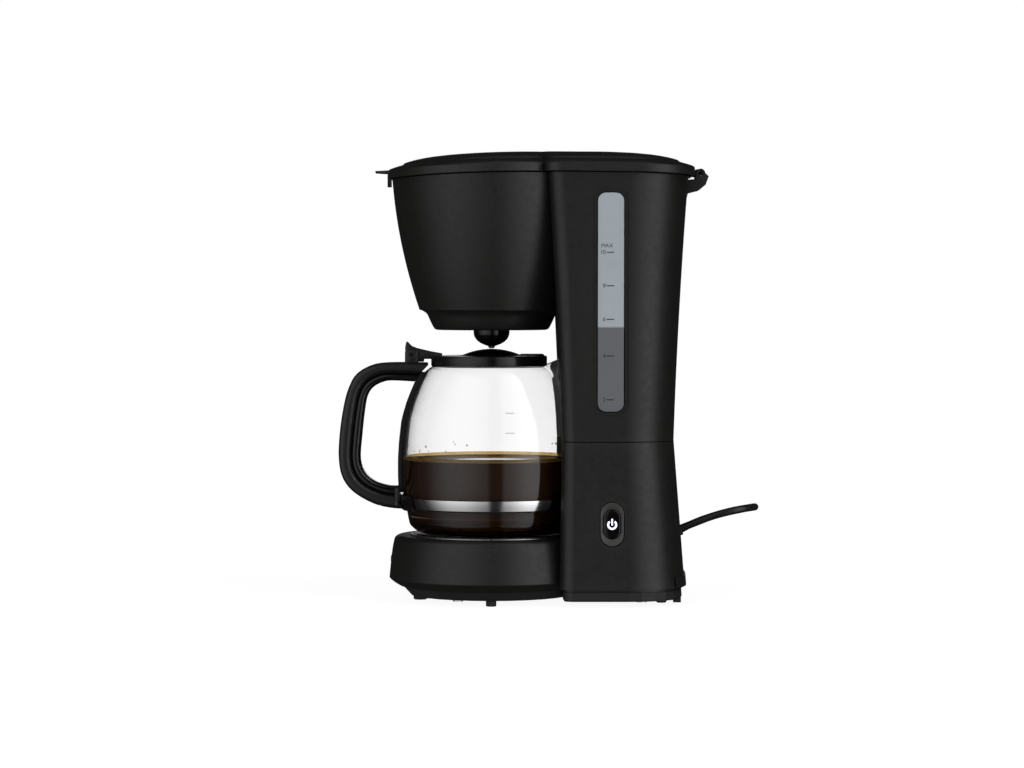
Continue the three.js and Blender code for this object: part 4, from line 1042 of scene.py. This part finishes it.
def add_carafe_lid():
    low = GLASS_TOP + 0.3
    profile = [
        (AXIS_HOLE, low + 2), (37.2, low + 2), (37.6, low - 1.2), (39.2, low - 1.2), (39.6, low - 0.1),
        (41.4, low - 0.05), (42.1, low + 0.25), (LID_RADIUS, low + 0.9), (LID_RADIUS, LID_TOP - 1.3),
        (LID_RADIUS - 0.3, LID_TOP - 0.5), (LID_RADIUS - 1.1, LID_TOP - 0.05), (LID_RADIUS - 2.5, LID_TOP),
        (AXIS_HOLE, LID_TOP),
    ]
    disc = lathe("carafe_lid_disc", profile, depth=LID_OFFSET)
    boolean(disc, box("spout_room", (-11, 40.4, low - 3), (11, 70, LID_TOP + 6)))
    finished(disc, "carafe", gloss_satin, "gloss_black", "carafe_lid", angle=35)
    dome = [(24.4, LID_TOP - 0.6), (23.6, LID_TOP + 0.1), (22.8, LID_TOP + 0.5)]
    for share in (0.97, 0.92, 0.85, 0.76, 0.66, 0.55, 0.43, 0.3, 0.16, 0.001):
        dome.append((DOME_RADIUS * share, LID_TOP + DOME_RISE * (1 - share * share)))
    finished(lathe("carafe_lid_dome", dome, 128), "carafe", gloss_black, "gloss_black", angle=40)
    add_lid_lever()
    stop = [
        (20, LID_TOP - 1), (20.6, LID_TOP + 0.9), (21.6, LID_TOP + 1.3), (37.2, LID_TOP + 1.3),
        (38.2, LID_TOP + 0.8), (38.6, LID_TOP - 1),
    ]
    stop = softened(prism("lid_stop", stop, -7, 7), 0.4)
    finished(stop, "carafe", gloss_black, "gloss_black", angle=40)


def add_lid_lever():
    d, z = LID_PIVOT
    lever = [
        (d - 4.6, z + 4.2), (d - 3.9, z + 8.6), (d - 3.2, z + 9.7), (d - 2.4, z + 9.0),
        (d + 0.4, z + 6.2), (d + 4, z + 4.8), (d + 8.4, z + 3.7), (d + 15, z + 2.2),
        (d + 22.4, z + 0.9), (d + 22.4, z - 3.2), (d + 9.2, z - 3.2), (d + 9.2, z - 5.2),
        (d + 4.6, z - 5.2), (d, z - 3.4), (d - 3.4, z - 1.6),
    ]
    lever = softened(prism("lid_lever", lever, -4.2, 4.2), 0.45)
    finished(lever, "carafe", handle_black, "gloss_black", angle=40)


def glass_print(name, first, last, z, height):
    """A printed stroke on the glass's near side, from one depth to another."""
    rings = []
    for level in (z - height / 2, z + height / 2):
        radius = glass_radius(level)
        depths = between(first, last, 8)
        line = []
        for lift, span in ((0.05, depths[::-1]), (0.16, depths)):
            scale = (radius + lift) / radius
            for depth in span:
                x = math.sqrt(radius * radius - depth * depth)
                line.append((x * scale, depth * scale, level))
        rings.append(line)
    return finished(loft(name, rings), "carafe", glass_ink, "glass", angle=60)


def add_glass_marks():
    for name, z in (("cup_mark_high", 138.1), ("cup_mark_low", 124.0)):
        glass_print(name, 10.2, 16.6, z, 0.5)


DROP_COUNT = 46
DROP_SEED = 7


def add_droplets():
    """Drops that cling to the glass just above the coffee."""
    source = random.Random(DROP_SEED)
    points, faces = [], []
    for _ in range(DROP_COUNT):
        angle = source.uniform(0, 2 * math.pi)
        size = source.uniform(0.25, 0.75)
        height = COFFEE_TOP + 1.6 + source.random() ** 2.2 * 9
        radius = glass_radius(height) - GLASS_WALL - size * 0.25
        base = len(points)
        for j in range(5):
            lat = -math.pi / 2 + math.pi * (j + 0.5) / 5
            for lon in between(0, 2 * math.pi, 8)[:-1]:
                points.append((
                    radius * math.cos(angle) + size * math.cos(lat) * math.cos(lon),
                    radius * math.sin(angle) + size * math.cos(lat) * math.sin(lon),
                    height + size * 1.25 * math.sin(lat),
                ))
        for low in range(base, base + 32, 8):
            for i in range(8):
                j = (i + 1) % 8
                faces.append((low + i, low + j, low + 8 + j, low + 8 + i))
        faces.append(tuple(base + i for i in reversed(range(8))))
        faces.append(tuple(base + 32 + i for i in range(8)))
    drops = make_object("coffee_drops", points, faces)
    return finished(drops, "carafe", golden_material("coffee_drop"), "glass", angle=80)


# ---------------------------------------------------------------- gauge, switch, plate, nozzle

PANE_DEPTH = 1.3
PANE_THICKNESS = 1.9
INK_LIFT = 0.08
TICK_HALF = 0.35


def gauge_face(z):
    return half_width(z) - PANE_DEPTH


def add_gauge():
    low, high = node_box("gauge_window")
    middle, length = (low.z + high.z) / 2, high.z - low.z
    outline = rounded_bar(
        GAUGE_DEPTH, middle, GAUGE_WIDTH - 2 * PANE_GAP, length, GAUGE_CORNER - PANE_GAP,
    )
    pane = prism("gauge_pane", outline, *SIDE_CUT)
    boolean(pane, column("skin", PANE_DEPTH, 110, CORE_TOP), "INTERSECT")
    boolean(pane, column("core", PANE_DEPTH + PANE_THICKNESS, 110, CORE_TOP))
    softened(pane, 0.9, 4, 50)
    finished(pane, "machine", frosted_window(), "window", "gauge_window", angle=40)
    marks = [("10", 252.4), ("8", 228.7), ("6", 204.9), ("4", 178.9), ("2", 147.8)]
    for text, z in marks:
        gauge_text(f"gauge_number_{text}", text, 81.3, z, 4.1, "RIGHT")
        low, high = z - TICK_HALF, z + TICK_HALF
        tick = [(81.9, low), (87.3, low), (87.3, high), (81.9, high)]
        gauge_mesh(f"gauge_tick_{text}", tick, [(0, 1, 2, 3)])
    gauge_text("gauge_full", "MAX", 82.2, 257.0, 3.9, "CENTER")


def gauge_text(name, text, depth, z, size, align):
    curve = bpy.data.curves.new(name, "FONT")
    curve.body = text
    curve.size = size
    curve.align_x = align
    curve.align_y = "CENTER"
    obj = bpy.data.objects.new(name + "_text", curve)
    bpy.context.scene.collection.objects.link(obj)
    mesh = evaluated_mesh(obj)
    flat = [(depth + v.co.x, z + v.co.y) for v in mesh.vertices]
    faces = [tuple(p.vertices) for p in mesh.polygons]
    bpy.data.objects.remove(obj)
    gauge_mesh(name, flat, faces)


def gauge_mesh(name, flat, faces):
    """Ink on the gauge's face: a flat shape of (depth, height) points laid on the pane."""
    points = [(gauge_face(z) + INK_LIFT, d, z) for d, z in flat]
    finished(make_object(name, points, faces), "machine", gauge_ink, "window")


def frosted_window():
    material, tree, shader = new_material("gauge_frosted")
    place = tree.nodes.new("ShaderNodeTexCoord")
    axes = tree.nodes.new("ShaderNodeSeparateXYZ")
    tree.links.new(place.outputs["Object"], axes.inputs[0])
    edge = 0.7
    level = spread(tree, axes.outputs["Z"], 0, 1, (WATER_TOP - edge) * MM, (WATER_TOP + edge) * MM)
    dry = blend_colors(tree, noise(tree, 70, 3), (0.50, 0.555, 0.60), (0.56, 0.615, 0.66))
    wet = blend_colors(tree, noise(tree, 70, 3), (0.165, 0.175, 0.19), (0.19, 0.20, 0.215))
    tree.links.new(blend_colors(tree, level, wet, dry), shader.inputs["Base Color"])
    tree.links.new(spread(tree, noise(tree, 500, 3), 0.32, 0.42), shader.inputs["Roughness"])
    put(shader, {"Subsurface Weight": 0.2, "Subsurface Radius": (0.002, 0.002, 0.002)})
    add_bump(tree, shader, noise(tree, 1500, 2), 0.15, 0.00003)
    return material


def stadium_ring(x, width, length):
    return [(x, d, z) for d, z in stadium(SWITCH_DEPTH, SWITCH_Z, width, length, 28)]


def add_switch():
    face = half_width(SWITCH_Z)
    surround = [
        (-6, 16.6, 31.1), (-0.5, 16.6, 31.1), (-0.1, 16.4, 30.9), (0.05, 15.9, 30.4), (0.0, 15.4, 29.9),
        (-1.0, 13.4, 23.6), (-1.5, 12.5, 21.6), (-2.2, 12.2, 21.3), (-6, 12.2, 21.3),
    ]
    rings = [stadium_ring(face + x, w, n) for x, w, n in surround]
    bezel = loft("switch_surround", rings, closed=True)
    finished(bezel, "machine", bezel_grey, "gloss_black", "switch_bezel", angle=35)
    cap = [
        (-6.4, 11.6, 20.7), (-1.5, 11.6, 20.7), (-1.0, 11.4, 20.5), (-0.8, 10.9, 20.0),
        (-0.75, 10.2, 19.3), (-0.75, 4, 13.1),
    ]
    rings = [stadium_ring(face + x, w, n) for x, w, n in cap]
    finished(loft("button_cap", rings), "button", gloss_black, "gloss_black", "power_button", angle=35)
    add_power_icon(face - 0.85)


ICON_OUTER, ICON_INNER = 3.55, 2.15
ICON_THICKNESS = 0.25
ICON_Z = SWITCH_Z - 0.2


def add_power_icon(x):
    """A broken ring with a bar in its gap, lit from behind."""
    half_gap = math.radians(38)
    start, end = math.pi / 2 + half_gap, math.pi / 2 + 2 * math.pi - half_gap
    outline = arc(0, 0, ICON_OUTER, start, end, 48) + arc(0, 0, ICON_INNER, start, end, 48)

    def raised(flat):
        return [[(x + lift, SWITCH_DEPTH + u, ICON_Z + v) for u, v in flat] for lift in (0, ICON_THICKNESS)]

    back, front = raised(outline)
    points = back + front
    n, m = 49, 98
    faces = []
    for i in range(n - 1):
        faces.append((i, i + 1, n + i + 1, n + i))
        faces.append((m + i, m + n + i, m + n + i + 1, m + i + 1))
        faces.append((i, m + i, m + i + 1, i + 1))
        faces.append((n + i, n + i + 1, m + n + i + 1, m + n + i))
    faces.append((0, n, m + n, m))
    faces.append((n - 1, m + n - 1, m + m - 1, m - 1))
    finished(make_object("power_ring", points, faces), "button", lamp, "lamp", "button_lens")
    bar = [(-0.55, -0.5), (0.55, -0.5), (0.6, 3.9), (0.35, 4.3), (-0.35, 4.3), (-0.6, 3.9)]
    finished(loft("power_bar", raised(bar)), "button", lamp, "lamp")


PLATE_RISE = 1.3
PLATE_RADIUS = 56.5


def add_plate():
    top = POD_TOP + PLATE_RISE
    profile = [
        (AXIS_HOLE, top - 2.6), (56.3, top - 2.6), (PLATE_RADIUS, top - 2.2), (PLATE_RADIUS, top - 0.7),
        (56.2, top - 0.2), (55.6, top), (53.4, top), (52.6, top - 0.1), (52.0, top - 0.45),
        (51.2, top - 0.5), (AXIS_HOLE, top - 0.5),
    ]
    plate = lathe("plate_disc", profile, BASE_FINE)
    finished(plate, "machine", plate_black, "plate", "hot_plate", angle=40)
    seal = [
        (56.8, POD_TOP - 3), (59.4, POD_TOP - 3), (59.4, POD_TOP + 0.2), (59.1, POD_TOP + 0.75),
        (58.4, POD_TOP + 0.95), (57.2, POD_TOP + 0.9), (56.8, POD_TOP + 0.5),
    ]
    rim = lathe("plate_rim", seal, BASE_FINE, closed=True)
    finished(rim, "machine", rim_steel, "plate", "plate_seal", angle=50)


def add_nozzle():
    bottom, radius, cap, top = 185, 13.1, 9.9, 198.9
    profile = [(2.9, bottom + 3), (2.9, bottom + 0.25), (3.2, bottom)]
    for a in between(math.pi / 6, math.pi / 2, 12):
        profile.append((radius * math.sin(a), bottom + cap * (1 - math.cos(a))))
    profile += [
        (radius, top), (10.8, top), (10.7, bottom + cap), (8.6, bottom + 5), (5, bottom + 3.2),
    ]
    body = lathe("nozzle_fine", profile, 96, closed=True)
    finished(body, "basket", gloss_black, "gloss_black", "drip_nozzle", angle=35)


add_brew_head()
add_tank_column()
add_base()
add_lid()
add_glass()
add_coffee()
add_handle()
add_band()
add_carafe_lid()
add_glass_marks()
add_droplets()
add_gauge()
add_switch()
add_plate()
add_nozzle()


# ---------------------------------------------------------------- light and floor

LEFT_NEAR, LEFT_MIDDLE, LEFT_FAR = 0.42, 0.98, 0.02
RIGHT_NEAR, RIGHT_FAR = 0.6, 1.7
TOP_PANEL = 0.35
BACKDROP = 1.0
DIM_ROOM = 0.012
LOW_SHARE = 0.5
FLOOR_REACH = 12000
FLOOR_LIGHT, FLOOR_SEEN = 0.1, 0.93


def add_floor():
    reach = FLOOR_REACH
    corners = [(-reach, -reach, 0), (reach, -reach, 0), (reach, reach, 0), (-reach, reach, 0)]
    floor = make_object("floor", corners, [(0, 1, 2, 3)])
    material, tree, shader = new_material("floor_white")
    tone = blend_colors(tree, noise(tree, 3, 2), (0.24, 0.24, 0.24), (0.26, 0.26, 0.26))
    tree.links.new(tone, shader.inputs["Base Color"])
    put(shader, {"Roughness": 0.9, "Specular IOR Level": 0.0, "Emission Color": (1, 1, 1, 1)})
    glow = tree.nodes.new("ShaderNodeMapRange")
    put(glow, {"To Min": FLOOR_LIGHT, "To Max": FLOOR_SEEN})
    tree.links.new(seen_directly(tree), glow.inputs["Value"])
    tree.links.new(glow.outputs["Result"], shader.inputs["Emission Strength"])
    paint(floor, material)
    floor.visible_glossy = False


def add_world():
    """A studio of soft panels: one each side of the camera, one overhead and a bright backdrop."""
    studio = bpy.data.worlds.new("studio")
    bpy.context.scene.world = studio
    studio.use_nodes = True
    tree = studio.node_tree
    background = tree.nodes["Background"]
    background.inputs["Color"].default_value = (1, 1, 1, 1)

    def math_node(operation, *values):
        node = tree.nodes.new("ShaderNodeMath")
        node.operation = operation
        for socket, value in zip(node.inputs, values):
            if isinstance(value, (int, float)):
                socket.default_value = value
            else:
                tree.links.new(value, socket)
        return node.outputs[0]

    def step(value, low, high, start=0.0, end=1.0):
        node = tree.nodes.new("ShaderNodeMapRange")
        node.interpolation_type = "SMOOTHSTEP"
        put(node, {"From Min": low, "From Max": high, "To Min": start, "To Max": end})
        tree.links.new(value, node.inputs["Value"])
        return node.outputs["Result"]

    coordinates = tree.nodes.new("ShaderNodeTexCoord")
    axes = tree.nodes.new("ShaderNodeSeparateXYZ")
    tree.links.new(coordinates.outputs["Generated"], axes.inputs[0])
    x, y, z = axes.outputs
    turn = math_node("MULTIPLY", math_node("ARCTAN2", y, x), 180 / math.pi)
    rise = math_node("MULTIPLY", math_node("ARCSINE", z), 180 / math.pi)

    def window(value, low, high, soft):
        enter = step(value, low - soft, low + soft)
        return math_node("MULTIPLY", enter, step(value, high - soft, high + soft, 1, 0))

    def panel(side, near, far, low, high, soft=3.0):
        away = math_node("MULTIPLY", turn, side)
        across = window(away, near, far, soft)
        return away, math_node("MULTIPLY", across, window(rise, low, high, soft))

    away, left = panel(-1, 3, 110, -40, 56)
    near_side = step(away, 0, 42, LEFT_NEAR, LEFT_MIDDLE)
    fading = math_node("MULTIPLY", near_side, step(away, 50, 100, 1, LEFT_FAR))
    left = math_node("MULTIPLY", left, fading)
    away, right = panel(1, 15, 72, -40, 62)
    right = math_node("MULTIPLY", right, step(away, 15, 55, RIGHT_NEAR, RIGHT_FAR))
    above = math_node("MULTIPLY", step(rise, 60, 78), TOP_PANEL)
    behind = math_node("MULTIPLY", step(math_node("ABSOLUTE", turn), 170, 173), step(rise, 0, 1))
    behind = math_node("MULTIPLY", behind, step(rise, 6, 8, BACKDROP, 0))
    sides = math_node("MULTIPLY", math_node("ADD", left, right), step(rise, -36, -6, LOW_SHARE, 1))
    total = math_node("ADD", sides, math_node("ADD", above, behind))
    total = math_node("ADD", total, DIM_ROOM)
    direct = seen_directly(tree)
    strength = tree.nodes.new("ShaderNodeMix")
    tree.links.new(direct, strength.inputs[0])
    tree.links.new(total, strength.inputs[2])
    strength.inputs[3].default_value = 1.0
    tree.links.new(strength.outputs[0], background.inputs["Strength"])


def seen_directly(tree):
    """1 where the surroundings are seen straight or through glass, 0 where they light things."""
    path = tree.nodes.new("ShaderNodeLightPath")
    bounces = tree.nodes.new("ShaderNodeMath")
    bounces.operation = "ADD"
    tree.links.new(path.outputs["Diffuse Depth"], bounces.inputs[0])
    tree.links.new(path.outputs["Glossy Depth"], bounces.inputs[1])
    none = tree.nodes.new("ShaderNodeMath")
    none.operation = "LESS_THAN"
    none.inputs[1].default_value = 0.5 # half a bounce
    tree.links.new(bounces.outputs[0], none.inputs[0])
    return none.outputs[0]


add_floor()
add_world()
bpy.context.scene.view_settings.view_transform = "Standard"
